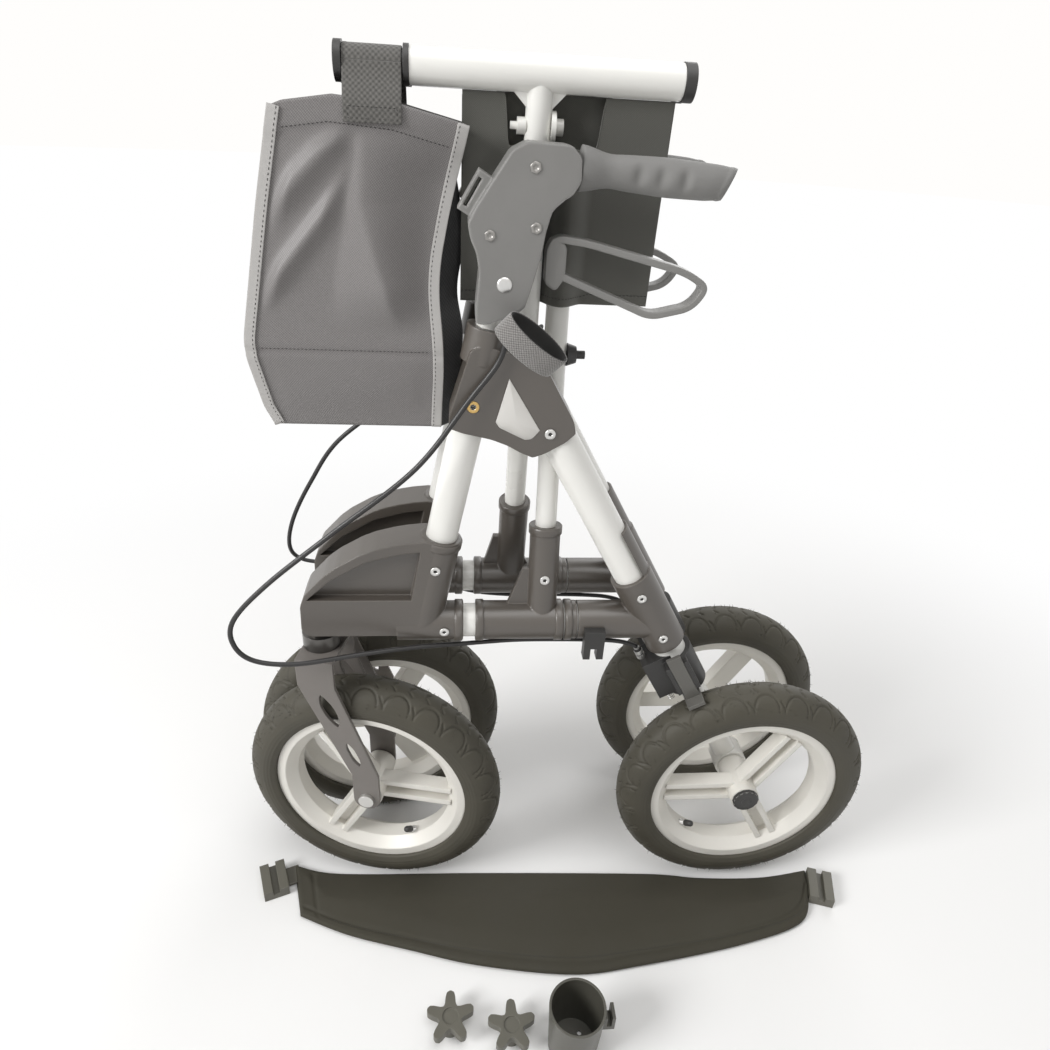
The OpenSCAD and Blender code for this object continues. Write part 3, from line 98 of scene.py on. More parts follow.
eye = bpy.data.cameras.new("photo_camera")
eye.sensor_width = 36.0
eye.lens = eye.sensor_width * focal_px / photo_px
camera = linked("photo_camera", eye)
camera.matrix_world = Matrix(np.block([
    [np.stack([across, above, -ahead], 1), stand[:, None]],
    [np.zeros((1, 3)), np.ones((1, 1))]]).tolist())
scene.camera = camera


# BRAKE CABLES
# A black sheathed cable leaves each handle casing, swings forward in a free loop, and runs under the
# lower tube to the adjuster of its brake housing. The sheath is stiff and clamped at both ends.
def at(mm):
    """Millimetres from the rollator's middle, as metres in the frame that all pieces share."""
    return np.asarray(mm, float) * 0.001 + middle


def flowing(points, steps):
    """A smooth line through points: each stretch is the cubic whose slope at a point is half the
    difference of that point's two neighbours."""
    p = np.asarray(points, float)
    p = np.concatenate([p[:1], p, p[-1:]])
    t = np.linspace(0, 1, steps, endpoint=False)[None, :, None]
    a, b, c, d = (p[k:len(p) - 3 + k, None] for k in range(4))
    line = (2 * b + (c - a) * t + (2 * a - 5 * b + 4 * c - d) * t ** 2 + (3 * b - a - 3 * c + d) * t ** 3) / 2
    return np.concatenate([line.reshape(-1, p.shape[1]), p[-1:]])


def unit(v):
    """Arrows of length one along the last axis."""
    return v / np.maximum(np.linalg.norm(v, axis=-1, keepdims=True), 1e-12)


def carried(line, section, side, closed=False):
    """A flat section carried along a line: its first axis lies along side, made square to the line,
    and its second along the line's tangent crossed with that."""
    ahead_of = np.roll(line, -1, 0) - np.roll(line, 1, 0)
    if not closed:
        ahead_of[0], ahead_of[-1] = line[1] - line[0], line[-1] - line[-2]
    t = unit(ahead_of)
    s = np.broadcast_to(np.asarray(side, float), t.shape)
    s = unit(s - t * (s * t).sum(1, keepdims=True))
    n = np.cross(t, s)
    section = np.asarray(section, float)
    return line[:, None] + section[None, :, :1] * s[:, None] + section[None, :, 1:] * n[:, None]


def ring(radius, count):
    """Points of a circle, at even angles."""
    a = np.arange(count) * 2 * np.pi / count
    return np.stack([np.cos(a), np.sin(a)], 1) * radius


def sheet_piece(name, grid, ring_rows=False, ring_cols=False):
    """One quad between each four neighbours of a grid of points, whose rows or columns may close into
    rings. The UV map holds the mean running length along rows and along columns, in metres."""
    rows, cols = grid.shape[:2]
    full = np.concatenate([grid, grid[:1]]) if ring_rows else grid
    full = np.concatenate([full, full[:, :1]], 1) if ring_cols else full
    run = np.linalg.norm(np.diff(full, axis=0), axis=2).mean(1).cumsum()
    span = np.linalg.norm(np.diff(full, axis=1), axis=2).mean(0).cumsum()
    run, span = np.append(0, run), np.append(0, span)
    i, j = np.meshgrid(np.arange(len(run) - 1), np.arange(len(span) - 1), indexing="ij")
    corners = [(i, j), (i + 1, j), (i + 1, j + 1), (i, j + 1)]
    r = np.stack([c[0] for c in corners], -1).reshape(-1)
    c = np.stack([c[1] for c in corners], -1).reshape(-1)
    mesh = bpy.data.meshes.new(name)
    mesh.vertices.add(rows * cols)
    mesh.vertices.foreach_set("co", grid.reshape(-1).astype(np.float32))
    mesh.loops.add(len(r))
    mesh.loops.foreach_set("vertex_index", (r % rows * cols + c % cols).astype(np.int32))
    mesh.polygons.add(len(r) // 4)
    mesh.polygons.foreach_set("loop_start", np.arange(0, len(r), 4, dtype=np.int32))
    lengths = np.stack([run[r], span[c]], 1).reshape(-1)
    mesh.uv_layers.new(name="length").data.foreach_set("uv", lengths.astype(np.float32))
    mesh.update(calc_edges=True)
    mesh.shade_smooth()
    return linked(name, mesh)


def welded(piece):
    """Poles and seams are closed by merging points that lie together, and faces turned outwards."""
    work = bmesh.new()
    work.from_mesh(piece.data)
    bmesh.ops.remove_doubles(work, verts=work.verts, dist=1e-6)
    bmesh.ops.dissolve_degenerate(work, edges=work.edges, dist=1e-7)
    bmesh.ops.recalc_face_normals(work, faces=work.faces)
    work.to_mesh(piece.data)
    work.free()
    return piece


def capped(grid):
    """A grid of closed rings, with a last ring at each end drawn in to the middle of that end."""
    first = np.broadcast_to(grid[:1].mean(1, keepdims=True), grid[:1].shape)
    last = np.broadcast_to(grid[-1:].mean(1, keepdims=True), grid[-1:].shape)
    return np.concatenate([first, grid, last])


def closed_piece(name, grid):
    """A closed solid from rings of points, capped at both ends."""
    return welded(sheet_piece(name, capped(grid), ring_cols=True))


def node_group(name, inputs, outputs):
    """An empty shader group: its float inputs as names and values, its outputs as names and kinds."""
    group = bpy.data.node_groups.new(name, "ShaderNodeTree")
    for label, value in inputs.items():
        socket = group.interface.new_socket(label, in_out="INPUT", socket_type="NodeSocketFloat")
        socket.default_value = value
    for label, kind in outputs.items():
        group.interface.new_socket(label, in_out="OUTPUT", socket_type=kind)
    return group, group.nodes.new("NodeGroupInput"), group.nodes.new("NodeGroupOutput")


def add(tree, kind, links=None, **settings):
    """A new shader node in a tree, with its properties set and its sockets linked or filled."""
    node = tree.nodes.new("ShaderNode" + kind)
    for key, value in settings.items():
        setattr(node, key, value)
    for key, value in (links or {}).items():
        if isinstance(value, bpy.types.NodeSocket):
            tree.links.new(value, node.inputs[key])
        else:
            node.inputs[key].default_value = value
    return node


def mixed(tree, share, first, second):
    """The colour between two colours, or linked colours, at a share that varies over the surface."""
    return add(tree, "Mix", {0: share, 6: first, 7: second}, data_type="RGBA").outputs[2]


def maths(tree, operation, *values):
    """The result of one step of arithmetic on numbers or linked values."""
    return add(tree, "Math", dict(enumerate(values)), operation=operation).outputs[0]


# Fine moulding grain, and slow patches where a surface is a little lighter or duller.
grain, grain_in, grain_out = node_group("moulding_grain", {"Scale": 900.0, "Patches": 18.0},
                                        {"Height": "NodeSocketFloat", "Tone": "NodeSocketFloat"})
grain_place = add(grain, "TexCoord")
for label, detail, rough, result in (("Scale", 3.0, 0.6, "Height"), ("Patches", 4.0, 0.55, "Tone")):
    grain_noise = add(grain, "TexNoise", {
        "Vector": grain_place.outputs["Object"], "Scale": grain_in.outputs[label],
        "Detail": detail, "Roughness": rough})
    grain.links.new(grain_noise.outputs["Fac"], grain_out.inputs[result])

# Rounded edges, and a mask of them that the finishes tint: darker as wear, and lighter as wear and painted
# sheen.
edges, edges_in, edges_out = node_group("worn_and_sheen_edges", {"Radius": 0.001},
                                        {"Normal": "NodeSocketVector", "WearSheen": "NodeSocketFloat"})
edge_round = add(edges, "Bevel", {"Radius": edges_in.outputs["Radius"]}, samples=4)
edge_true = add(edges, "NewGeometry")
edge_dot = add(edges, "VectorMath", {
    0: edge_round.outputs["Normal"], 1: edge_true.outputs["Normal"]}, operation="DOT_PRODUCT")
edge_wear_sheen = add(edges, "MapRange", {
    "Value": edge_dot.outputs["Value"], "From Min": 0.995, "From Max": 0.85, "To Min": 0.0, "To Max": 1.0})
edges.links.new(edge_round.outputs["Normal"], edges_out.inputs["Normal"])
edges.links.new(edge_wear_sheen.outputs["Result"], edges_out.inputs["WearSheen"])


def new_finish(name):
    """An empty material, with its nodes and the sockets of its shader."""
    material = bpy.data.materials.new(name)
    material.use_nodes = True
    return material, material.node_tree, material.node_tree.nodes["Principled BSDF"].inputs


def tinted(color, factor, lift=0.0):
    """A colour with its parts times a factor, none above one, and its alpha."""
    return [min(1, c * factor + lift) for c in color] + [1]


def rigid_finish(name, color, rough, metallic=0.0, scale=900.0, depth=0.00004, patch=0.12, wear_sheen=0.25,
                 wear_sheen_tint=1.6, radius=0.001, coat=0.0, specular=0.5):
    """A moulded, cast or painted finish: grain as bump on rounded edges, patches in colour and gloss,
    and edges tinted lighter or darker, as wear and as painted sheen."""
    material, tree, shader = new_finish(name)
    shader["Metallic"].default_value = metallic
    shader["Coat Weight"].default_value = coat
    shader["Coat Roughness"].default_value = 0.12
    shader["Specular IOR Level"].default_value = specular
    speck = add(tree, "Group", {"Scale": scale}, node_tree=grain).outputs
    edge = add(tree, "Group", {"Radius": radius}, node_tree=edges).outputs
    body = mixed(tree, speck["Tone"], tinted(color, 1 - patch), tinted(color, 1 + patch))
    # The edge tint is wear, and where it is lighter on dark finishes also a painted sheen.
    share = maths(tree, "MULTIPLY", edge["WearSheen"], wear_sheen)
    tree.links.new(mixed(tree, share, body, tinted(color, wear_sheen_tint, 0.01)), shader["Base Color"])
    gloss = add(tree, "MapRange", {
        "Value": speck["Tone"], "From Min": 0.3, "From Max": 0.7,
        "To Min": rough * 0.88, "To Max": min(1, rough * 1.12)})
    tree.links.new(gloss.outputs["Result"], shader["Roughness"])
    bump = add(tree, "Bump", {
        "Height": speck["Height"], "Normal": edge["Normal"], "Strength": 1.0, "Distance": depth})
    tree.links.new(bump.outputs["Normal"], shader["Normal"])
    return material


def wear(piece, material):
    """The piece's only finish."""
    piece.data.materials.clear()
    piece.data.materials.append(material)
    return piece


sheath_finish = rigid_finish("cable_sheath", (0.022, 0.021, 0.021), 0.38, scale=500, depth=0.00002, wear_sheen=0)
out_of = {"left": -1.0, "right": 1.0}
cable_d = 5.0
cable_head = [[-86, 61, 710], [-87, 68, 693]]
cable_loops = {
    "left": [[-94, 69, 672], [-117, 72, 641], [-166, 82, 577], [-244, 94, 515], [-305, 99, 464],
             [-341, 102, 424], [-345, 102, 394], [-328, 100, 372], [-287, 97, 365]],
    "right": [[-97, 70, 670], [-130, 72, 632], [-190, 76, 590], [-259, 84, 534], [-296, 92, 478],
              [-322, 96, 426], [-330, 97, 388], [-318, 98, 369], [-285, 97, 364]]}
cable_foot = [[-221, 88, 370], [-166, 70, 364], [-116, 52, 354], [-60, 44, 352], [0, 44, 352],
              [45, 44, 350], [66, 44, 346], [77, 44, 341]]
for side, y in out_of.items():
    route = np.array(cable_head + cable_loops[side] + cable_foot) * [1, y, 1]
    line = flowing(at(route), 14)
    cable = closed_piece(f"{side}_cable", carried(line, ring(cable_d / 2000, 16), (0, 1, 0)))
    wear(cable, sheath_finish)
    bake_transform(cable)
    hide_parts(f"{side}_brake_cable")

# SIDE FRAME TUBES
# Aluminium tubes with a smooth, slightly warm white powder coat: legs, lower tubes, handle tubes,
# axle stays and the crossed arms. They are pressed and riveted into dark castings.
white_paint = rigid_finish("white_paint", (0.83, 0.822, 0.785), 0.3, scale=260, depth=0.00003, patch=0.025,
                           wear_sheen=0.1, wear_sheen_tint=0.92, radius=0.0008, coat=0.4)
for side in out_of:
    for tube in ("lower_tube", "front_leg", "rear_leg", "handle_tube", "axle_stay", "cross_arm"):
        wear(nodes[f"{side}_{tube}"], white_paint)

# CASTINGS OF THE SIDE FRAMES
# Glass-filled charcoal nylon: fin-shaped housings over the castors, the joint at the top of the legs,
# the castings behind, and the sleeves of the cross. Their upper faces shine where they face the light.
# The castings' lighter edges are partly wear and partly a painted sheen.
charcoal = rigid_finish("charcoal_moulding", (0.08, 0.069, 0.058), 0.34, scale=1500, depth=0.00006, patch=0.1,
                        wear_sheen=0.5, wear_sheen_tint=2.1, radius=0.0022, specular=0.9)
black_moulding = rigid_finish("black_moulding", (0.028, 0.027, 0.026), 0.42, scale=1200, depth=0.00005,
                              patch=0.15, wear_sheen=0.5, wear_sheen_tint=2.4, radius=0.0011)
for side in out_of:
    for casting in ("front_housing", "top_joint", "rear_housing", "cross_sleeve"):
        wear(nodes[f"{side}_{casting}"], charcoal)
    for casting in ("brake_housing", "seat_caps", "stick_clip"):
        wear(nodes[f"{side}_{casting}"], black_moulding)
wear(nodes["cross_pivot"], black_moulding)

# BADGE PLATES AND FASTENERS
# A plain brushed plate lies in a recess of each top joint. Hollow zinc-plated rivets hold the tubes in
# the castings, and a brass insert takes the thread of the clamp knob.
lines, lines_in, lines_out = node_group("brushed_lines", {"Along": 60.0, "Over": 4000.0},
                                        {"Height": "NodeSocketFloat"})
lines_place = add(lines, "TexCoord")
lines_over = lines_in.outputs["Over"]
lines_scale = add(lines, "CombineXYZ", {
    "X": lines_in.outputs["Along"], "Y": lines_over, "Z": lines_over})
lines_far = add(lines, "VectorMath", {
    0: lines_place.outputs["Object"], 1: lines_scale.outputs["Vector"]}, operation="MULTIPLY")
lines_noise = add(lines, "TexNoise", {
    "Vector": lines_far.outputs["Vector"], "Scale": 1.0, "Detail": 2.0})
lines.links.new(lines_noise.outputs["Fac"], lines_out.inputs["Height"])
badge_metal = rigid_finish("brushed_badge", (0.66, 0.645, 0.615), 0.42, metallic=0.55, scale=300,
                           patch=0.06, wear_sheen=0.3, radius=0.0006)
badge_tree = badge_metal.node_tree
badge_lines = add(badge_tree, "Group", node_tree=lines)
badge_bump = next(n for n in badge_tree.nodes if n.type == "BUMP")
badge_tree.links.new(badge_lines.outputs["Height"], badge_bump.inputs["Height"])
badge_bump.inputs["Distance"].default_value = 0.00012
zinc = rigid_finish("zinc_plate", (0.64, 0.635, 0.62), 0.3, metallic=0.9, scale=700, depth=0.00003,
                    patch=0.08, wear_sheen=0.3, wear_sheen_tint=1.2, radius=0.0004)
brass = rigid_finish("brass", (0.62, 0.42, 0.16), 0.34, metallic=0.9, scale=700, depth=0.00003, patch=0.1,
                     wear_sheen=0.2, wear_sheen_tint=1.2, radius=0.0003)


def lathe(name, profile, foot, axis, count=40):
    """A profile of radii and heights in millimetres, turned round an axis from its foot, in metres."""
    axis = unit(np.asarray(axis, float))
    first = unit(np.cross(axis, (0.3, 0.2, 0.9) if abs(axis[2]) < 0.8 else (1, 0.1, 0)))
    second = np.cross(axis, first)
    a = np.arange(count) * 2 * np.pi / count
    spin = np.cos(a)[:, None] * first + np.sin(a)[:, None] * second
    profile = np.asarray(profile, float) * 0.001
    grid = foot + profile[:, None, :1] * spin[None] + profile[:, None, 1:] * axis
    return welded(sheet_piece(name, grid, ring_cols=True))


def rounded(points, radius, steps=6):
    """A closed outline with its corners eased: each corner is the parabola between the two points that
    lie one radius before and after it, or a little under half an edge where that is less."""
    p = np.asarray(points, float)
    before, after = np.roll(p, 1, 0) - p, np.roll(p, -1, 0) - p
    reach = np.minimum(np.linalg.norm(before, axis=1), np.linalg.norm(after, axis=1))[:, None]
    reach = np.minimum(radius, 0.46 * reach)
    start, end = p + unit(before) * reach, p + unit(after) * reach
    t = np.linspace(0, 1, steps)[None, :, None]
    eased_by = (1 - t) ** 2 * start[:, None] + 2 * t * (1 - t) * p[:, None] + t ** 2 * end[:, None]
    return eased_by.reshape(-1, p.shape[1])


def fitted(piece, material, body):
    """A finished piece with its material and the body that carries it."""
    wear(piece, material)
    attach(piece, body)
    return piece


rivet_ring = [[1.75, -0.4], [1.75, 0.1], [2.3, 0.5], [3.6, 0.55], [4.7, 0.25], [5.1, -0.3], [5.1, -0.9],
              [1.75, -0.9], [1.75, -0.4]]
rivet_shade_disc = [[0, -0.42], [1.8, -0.42], [1.8, -0.7], [0, -0.7]]
insert_mouth = [[2.7, -2.4], [2.7, 0.25], [3.1, 0.55], [5.2, 0.55], [5.6, 0.2], [5.6, -0.2], [5.2, -2.4],
                [2.7, -2.4]]
badge_shares = np.array([[0.46, 0.72], [0.37, 0.33], [0.4, 0.28], [0.6, 0.17], [0.65, 0.18], [0.71, 0.26]])
joint_size, joint_corner = [121, 106], [-138, 582]
insert_x, insert_face, insert_z = -113.8, 63.5, 630.8
badge_outline = rounded(badge_shares * joint_size + joint_corner, 2.5)
badge_heart = badge_outline.mean(0)
badge_inset = badge_heart + (badge_outline - badge_heart) * 0.985
tube_y, tube_z, tube_collar_r = 44, 380, 21.1
cross_foot_x = {"left": -35.0, "right": -64.0}
cross_rise, socket_rivet_up, socket_rivet_out, socket_top = 283, 54, 16.6, 102
frame_rivets = [[-148.81, 66.15, 456], [-140, 66.65, 380], [67.47, 68.15, 422.97], [98.38, 68.15, 369.22],
                [-42.41, 65, 606.38]]
front_lean = math.radians(11.3)
front_up = unit(np.array([math.sin(front_lean), 0, math.cos(front_lean)]))
for side, y in out_of.items():
    wear(nodes[f"{side}_frame_fasteners"], zinc)
    plate = np.stack([np.insert(outline, 1, y * face, axis=1) for outline, face in
                      ((badge_outline, 63.45), (badge_outline, 63.8), (badge_inset, 64.1))])
    fitted(closed_piece(f"{side}_badge", at(plate)), badge_metal, f"{side}_frame")
    insert_place = at([insert_x, y * insert_face, insert_z])
    mouth = lathe(f"{side}_brass_insert", insert_mouth, insert_place, (0, y, 0))
    fitted(mouth, brass, f"{side}_frame")

    # Hollow rivets: five on the castings, and one on the socket of the cross, which leans with its arm.
    socket_up = unit(np.array([0, -y * tube_y, cross_rise]))
    socket_out = np.array([0, y * socket_up[2], -y * socket_up[1]])
    socket_foot = np.array([cross_foot_x[side], y * tube_y, tube_z])
    rivets = [([x, y * face, z], (0, y, 0), "frame") for x, face, z in frame_rivets]
    socket_rivet = socket_foot + socket_rivet_up * socket_up + socket_rivet_out * socket_out
    rivets.append((socket_rivet, socket_out, "arm"))
    for number, (place, out, body) in enumerate(rivets):
        # The eye is a black disc a little below the rim: painted shade for the dark inside of the hollow
        # rivet.
        for name, profile, finish in (("ring", rivet_ring, zinc), ("eye", rivet_shade_disc, black_moulding)):
            rivet = lathe(f"{side}_rivet_{number}_{name}", profile, at(place), out, 28)
            fitted(rivet, finish, f"{side}_{body}")

    # Collars are moulded round the mouths of the castings, a little thicker than their walls.
    lower = np.array([0, y * tube_y, tube_z])
    collars = [(lower - [ahead_by, 0, 0], (1, 0, 0), tube_collar_r, long, body) for ahead_by, long, body in
               ((107, 9, "arm"), (21.5, 9, "arm"), (129.4, 9, "frame"), (10.2, 8, "frame"))]
    collars += [(socket_foot + socket_top * socket_up, socket_up, 16, 9.5, "arm"),
                (lower - [164, 0, 0] + 98 * front_up, front_up, 20.6, 9, "frame")]
    for number, (foot, way, radius, long, body) in enumerate(collars):
        wall, ease, lip = radius - 0.6, radius + 0.9, radius + 1.5
        section = [[wall, 0], [ease, 0.2], [lip, 1], [lip, long - 1], [ease, long - 0.2], [wall, long],
                   [wall, 0]]
        collar = lathe(f"{side}_collar_{number}", section, at(foot), way, 56)
        fitted(collar, charcoal, f"{side}_{body}")

# WHEELS
# Four air tyres with scalloped shoulders and moulding hairs sit on silver-grey cast rims. A black cap
# closes each rear hub, and a valve with a black dust cap stands inside each rim.
wheel_r, section_r = 152.5, 26.0
core_r = wheel_r - section_r
wheels = {"left_front": (-223.09, -54.40, -12.0), "right_front": (-222.19, 48.36, 5.0),
          "left_rear": (223.0, -75.5, 0.0), "right_rear": (223.0, 75.5, 0.0)}
scallops, scallop_cols = 24, 34
cut_depth, cut_half, ridge_high, ridge_half = 1.9, 1.05, 0.45, 0.9


def points_of(x, y, z):
    """Points from coordinates that vary along rows, along columns, along both or not at all."""
    return np.stack(np.broadcast_arrays(x, y, z), -1)


def on_wheel(wheel, angle, radius, width):
    """Points of a wheel: radius and angle in its plane, from the rear over the top, and width along
    its axle, which is turned by the castor's angle."""
    x, y, turn = wheels[wheel]
    c, s = math.cos(math.radians(turn)), math.sin(math.radians(turn))
    radius, width = np.asarray(radius), np.asarray(width)
    flat = radius * np.cos(angle)
    return at(points_of(x + flat * c - width * s, y + flat * s + width * c, wheel_r + radius * np.sin(angle)))


def tread_depth(bend, share):
    """Depth of the tread's cuts, in millimetres, over the section's bend and the share of one scallop:
    a bell curve of the distance to the nearest cut. Each shoulder has one arch and a short hook between
    arches, and small slits stand beside the crown; the other shoulder is half a scallop on."""
    step, shoulder = 2 * math.pi * wheel_r / scallops, 66
    p = np.linspace(0.1, 0.9, 90)
    arch = np.stack([p, shoulder - 44 * np.sqrt(np.maximum(0, 1 - ((p - 0.5) / 0.4) ** 2))], 1)
    hook = np.stack([np.linspace(0.9, 1.06, 24), shoulder - 26 * np.linspace(0, 1, 24) ** 0.6], 1)
    slits = [np.stack([np.linspace(a, a + 0.1, 12), np.linspace(b, b - 9, 12)], 1)
             for a, b in ((0.2, 15), (0.7, 13))]
    near = np.concatenate([arch, hook, *slits])
    far = np.stack([(near[:, 0] + 0.5) % 1, -near[:, 1]], 1)
    cuts = np.concatenate([half + [k, 0] for half in (near, far) for k in (-1, 0, 1)])
    cuts = cuts * [step, math.radians(section_r)]
    here = np.stack(np.broadcast_arrays(share * step, bend * section_r), -1)
    gap = np.linalg.norm(here[..., None, :] - cuts, axis=-1).min(-1)
    return cut_depth * np.exp(-(gap / cut_half) ** 2)


def facets(name, points, faces):
    """Many small solids in one mesh: points are given solid by solid, and the faces for one of them."""
    starts = np.arange(len(points))[:, None, None] * points.shape[1]
    mesh = bpy.data.meshes.new(name)
    mesh.from_pydata(points.reshape(-1, 3).tolist(), [], (starts + np.array(faces)).reshape(-1, 3).tolist())
    return linked(name, mesh)


bend = np.radians(np.linspace(-117, 117, 88))[:, None]
turns = np.arange(scallops * scallop_cols) * 2 * math.pi / (scallops * scallop_cols)
depth = np.tile(tread_depth(bend, np.arange(scallop_cols)[None] / scallop_cols), (1, scallops))
for ridge in (84, 92, 101):
    gap = (np.abs(bend) - math.radians(ridge)) * section_r
    depth = depth - ridge_high * np.exp(-(gap / ridge_half) ** 2)
arc_width = (section_r - depth) * np.sin(bend)
arc_radius = core_r + (section_r - depth) * np.cos(bend)
bead = np.array([[20.2, 114.75], [16.7, 114.6], [16.6, 108.4], [-16.6, 108.4], [-16.7, 114.6],
                 [-20.2, 114.75]])
tyre_width = np.concatenate([arc_width, np.repeat(bead[:, :1], len(turns), 1)])
tyre_radius = np.concatenate([arc_radius, np.repeat(bead[:, 1:], len(turns), 1)])
rubber = rigid_finish("tyre_rubber", (0.062, 0.057, 0.043), 0.58, scale=700, depth=0.00008, patch=0.3,
                      wear_sheen=0.0, radius=0.0005, specular=0.35)
cast_silver = rigid_finish("cast_silver", (0.735, 0.715, 0.665), 0.42, metallic=0.15, scale=420,
                           depth=0.00005, patch=0.05, wear_sheen=0.25, wear_sheen_tint=1.25, radius=0.0022)
hair_count, hair_r, hair_clear = 420, 0.00035, 0.003
hair_root = section_r - 0.2
spike = [[0, 1, 3], [1, 2, 3], [2, 0, 3], [2, 1, 0]]
valve_stem = [[0, -2], [4.4, -2], [4.4, 1.5], [2.6, 1.8], [2.6, 7.2], [0, 7.2]]
valve_cap = [[0, 6.6], [3.6, 6.6], [4.1, 7.4], [3.9, 15.5], [3.1, 17.6], [0, 18]]
valve_foot, valve_tip = (93.0, 3.0), (83.0, 11.0)
valve_turns = {"left_front": 300, "right_front": 240, "left_rear": 228, "right_rear": 240}
hub_cap = [[0, 31.9], [5.5, 31.8], [6.1, 32.3], [11, 32.2], [14.3, 31.8], [15.8, 30.6], [15.8, 27.2],
           [0, 27.2]]
for number, wheel in enumerate(wheels):
    body, out = f"{wheel}_wheel", out_of[wheel.split("_")[0]]
    tyre_grid = on_wheel(wheel, turns[None], tyre_radius, tyre_width)
    tyre = sheet_piece(f"{wheel}_tread_tyre", tyre_grid, True, True)
    fitted(tyre, rubber, body)
    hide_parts(f"{wheel}_tyre")
    wear(nodes[f"{wheel}_rim"], cast_silver)

    # Moulding hairs: three-sided spikes on the shoulders, at seeded places, none of them on the floor.
    dice = np.random.default_rng(11 + number)
    spin = dice.uniform(0, 2 * math.pi, hair_count)
    lean = np.radians(dice.uniform(12, 74, hair_count)) * dice.choice([-1, 1], hair_count)
    base = on_wheel(wheel, spin, core_r + hair_root * np.cos(lean), hair_root * np.sin(lean))
    tall = section_r + dice.uniform(1.2, 4.2, hair_count)
    tip = on_wheel(wheel, spin + dice.normal(0, 0.008, hair_count), core_r + tall * np.cos(lean),
                   tall * np.sin(lean + dice.normal(0, 0.04, hair_count)))
    keep = (tip[:, 2] > hair_clear) & (base[:, 2] > hair_clear)
    base, tip = base[keep], tip[keep]
    grow = unit(tip - base)
    first = unit(np.cross(grow, (0.31, 0.2, 0.93)))
    second = np.cross(grow, first)
    foot = base[:, None] + hair_r * (np.array([1, -0.5, -0.5])[:, None] * first[:, None]
                                     + np.array([0, 0.87, -0.87])[:, None] * second[:, None])
    hairs = facets(f"{wheel}_hairs", np.concatenate([foot, tip[:, None]], 1), spike)
    fitted(hairs, rubber, body)

    # The valve leans out of the rim's narrow middle towards the outer side.
    angle = math.radians(valve_turns[wheel])
    foot, inner = (on_wheel(wheel, angle, radius, out * width) for radius, width in (valve_foot, valve_tip))
    stem = lathe(f"{wheel}_valve_stem", valve_stem, foot, inner - foot, 18)
    fitted(stem, zinc, body)
    dust_cap = lathe(f"{wheel}_valve_cap", valve_cap, foot, inner - foot, 12)
    fitted(dust_cap, black_moulding, body)
    if wheel.endswith("rear"):
        cap = lathe(f"{wheel}_hub_cap", hub_cap, on_wheel(wheel, 0.0, 0.0, 0.0), (0, out, 0), 14)
        cap.data.shade_flat()
        fitted(cap, black_moulding, body)

# CASTORS
# Each front wheel turns on a bright axle bolt between the blades of a dark grey painted fork. Dark
# bearing rings stand on the fork's crown, round a kingpin that ends in the fin housing.
fork_paint = rigid_finish("fork_paint", (0.16, 0.146, 0.134), 0.42, scale=700, depth=0.00004, patch=0.1,
                          wear_sheen=0.45, wear_sheen_tint=1.8, radius=0.0013)
castor_metal = rigid_finish("castor_metal", (0.62, 0.61, 0.59), 0.3, metallic=0.85, scale=700,
                            depth=0.00003, patch=0.08, wear_sheen=0.3, wear_sheen_tint=1.2, radius=0.0006)
crown_z, ring_color = 0.3, (0.13, 0.125, 0.118, 1)
castor_tree = castor_metal.node_tree
castor_color = castor_tree.nodes["Principled BSDF"].inputs["Base Color"]
castor_bright = castor_color.links[0].from_socket
castor_place = add(castor_tree, "TexCoord")
castor_split = add(castor_tree, "SeparateXYZ", {0: castor_place.outputs["Object"]})
castor_high = maths(castor_tree, "GREATER_THAN", castor_split.outputs["Z"], crown_z)
castor_tree.links.new(mixed(castor_tree, castor_high, castor_bright, ring_color), castor_color)
for side in out_of:
    wear(nodes[f"{side}_fork"], fork_paint)
    wear(nodes[f"{side}_castor_hardware"], castor_metal)

# BRAKES
# A dark flat bar slides in the outer side of each black brake housing and presses a shoe on the rear
# tyre. The cable ends in a bright knurled adjuster, and a small return spring hangs below the housing.
bar_steel = rigid_finish("bar_steel", (0.13, 0.126, 0.115), 0.4, metallic=0.3, scale=500, depth=0.00004,
                         patch=0.12, wear_sheen=0.5, wear_sheen_tint=1.9, radius=0.0009)
rear_axle_x = 223
rear_lean = math.radians(29.9)
leg_up = np.array([-math.sin(rear_lean), 0, math.cos(rear_lean)])
leg_back = np.array([math.cos(rear_lean), 0, math.sin(rear_lean)])
adjuster = [[0, 0.1], [5.2, 0.1], [5.2, 4.6], [4.2, 5], [4.2, 5.8], [5, 6.2], [5, 11], [3.4, 11.6],
            [3.4, 15], [2.7, 15.4], [0, 15.4]]
adjuster_high, adjuster_ahead = 220, 33
spring_turns, spring_r, spring_wire = 9, 3.6, 0.00055
spring_top, spring_long, spring_ahead, spring_inside = 168, 30, 26, 5
spring_t = np.linspace(0, 1, 260)[:, None]
coil = spring_t * spring_turns * 2 * math.pi
for side, y in out_of.items():
    wear(nodes[f"{side}_brake_bar"], bar_steel)
    axle = np.array([rear_axle_x, y * tube_y, wheel_r])
    adjuster_foot = at(axle + adjuster_high * leg_up - adjuster_ahead * leg_back)
    knurl = lathe(f"{side}_cable_adjuster", adjuster, adjuster_foot, leg_up, 16)
    knurl.data.shade_flat()
    fitted(knurl, zinc, f"{side}_frame")
    spring_axis = axle + [0, -y * spring_inside, 0] + (spring_top - spring_long * spring_t) * leg_up
    spring_line = spring_axis - spring_ahead * leg_back + spring_r * (
        np.cos(coil) * leg_back + np.sin(coil) * np.array([0, 1, 0]))
    spring = closed_piece(f"{side}_return_spring", carried(at(spring_line), ring(spring_wire, 8), leg_up))
    fitted(spring, zinc, f"{side}_frame")

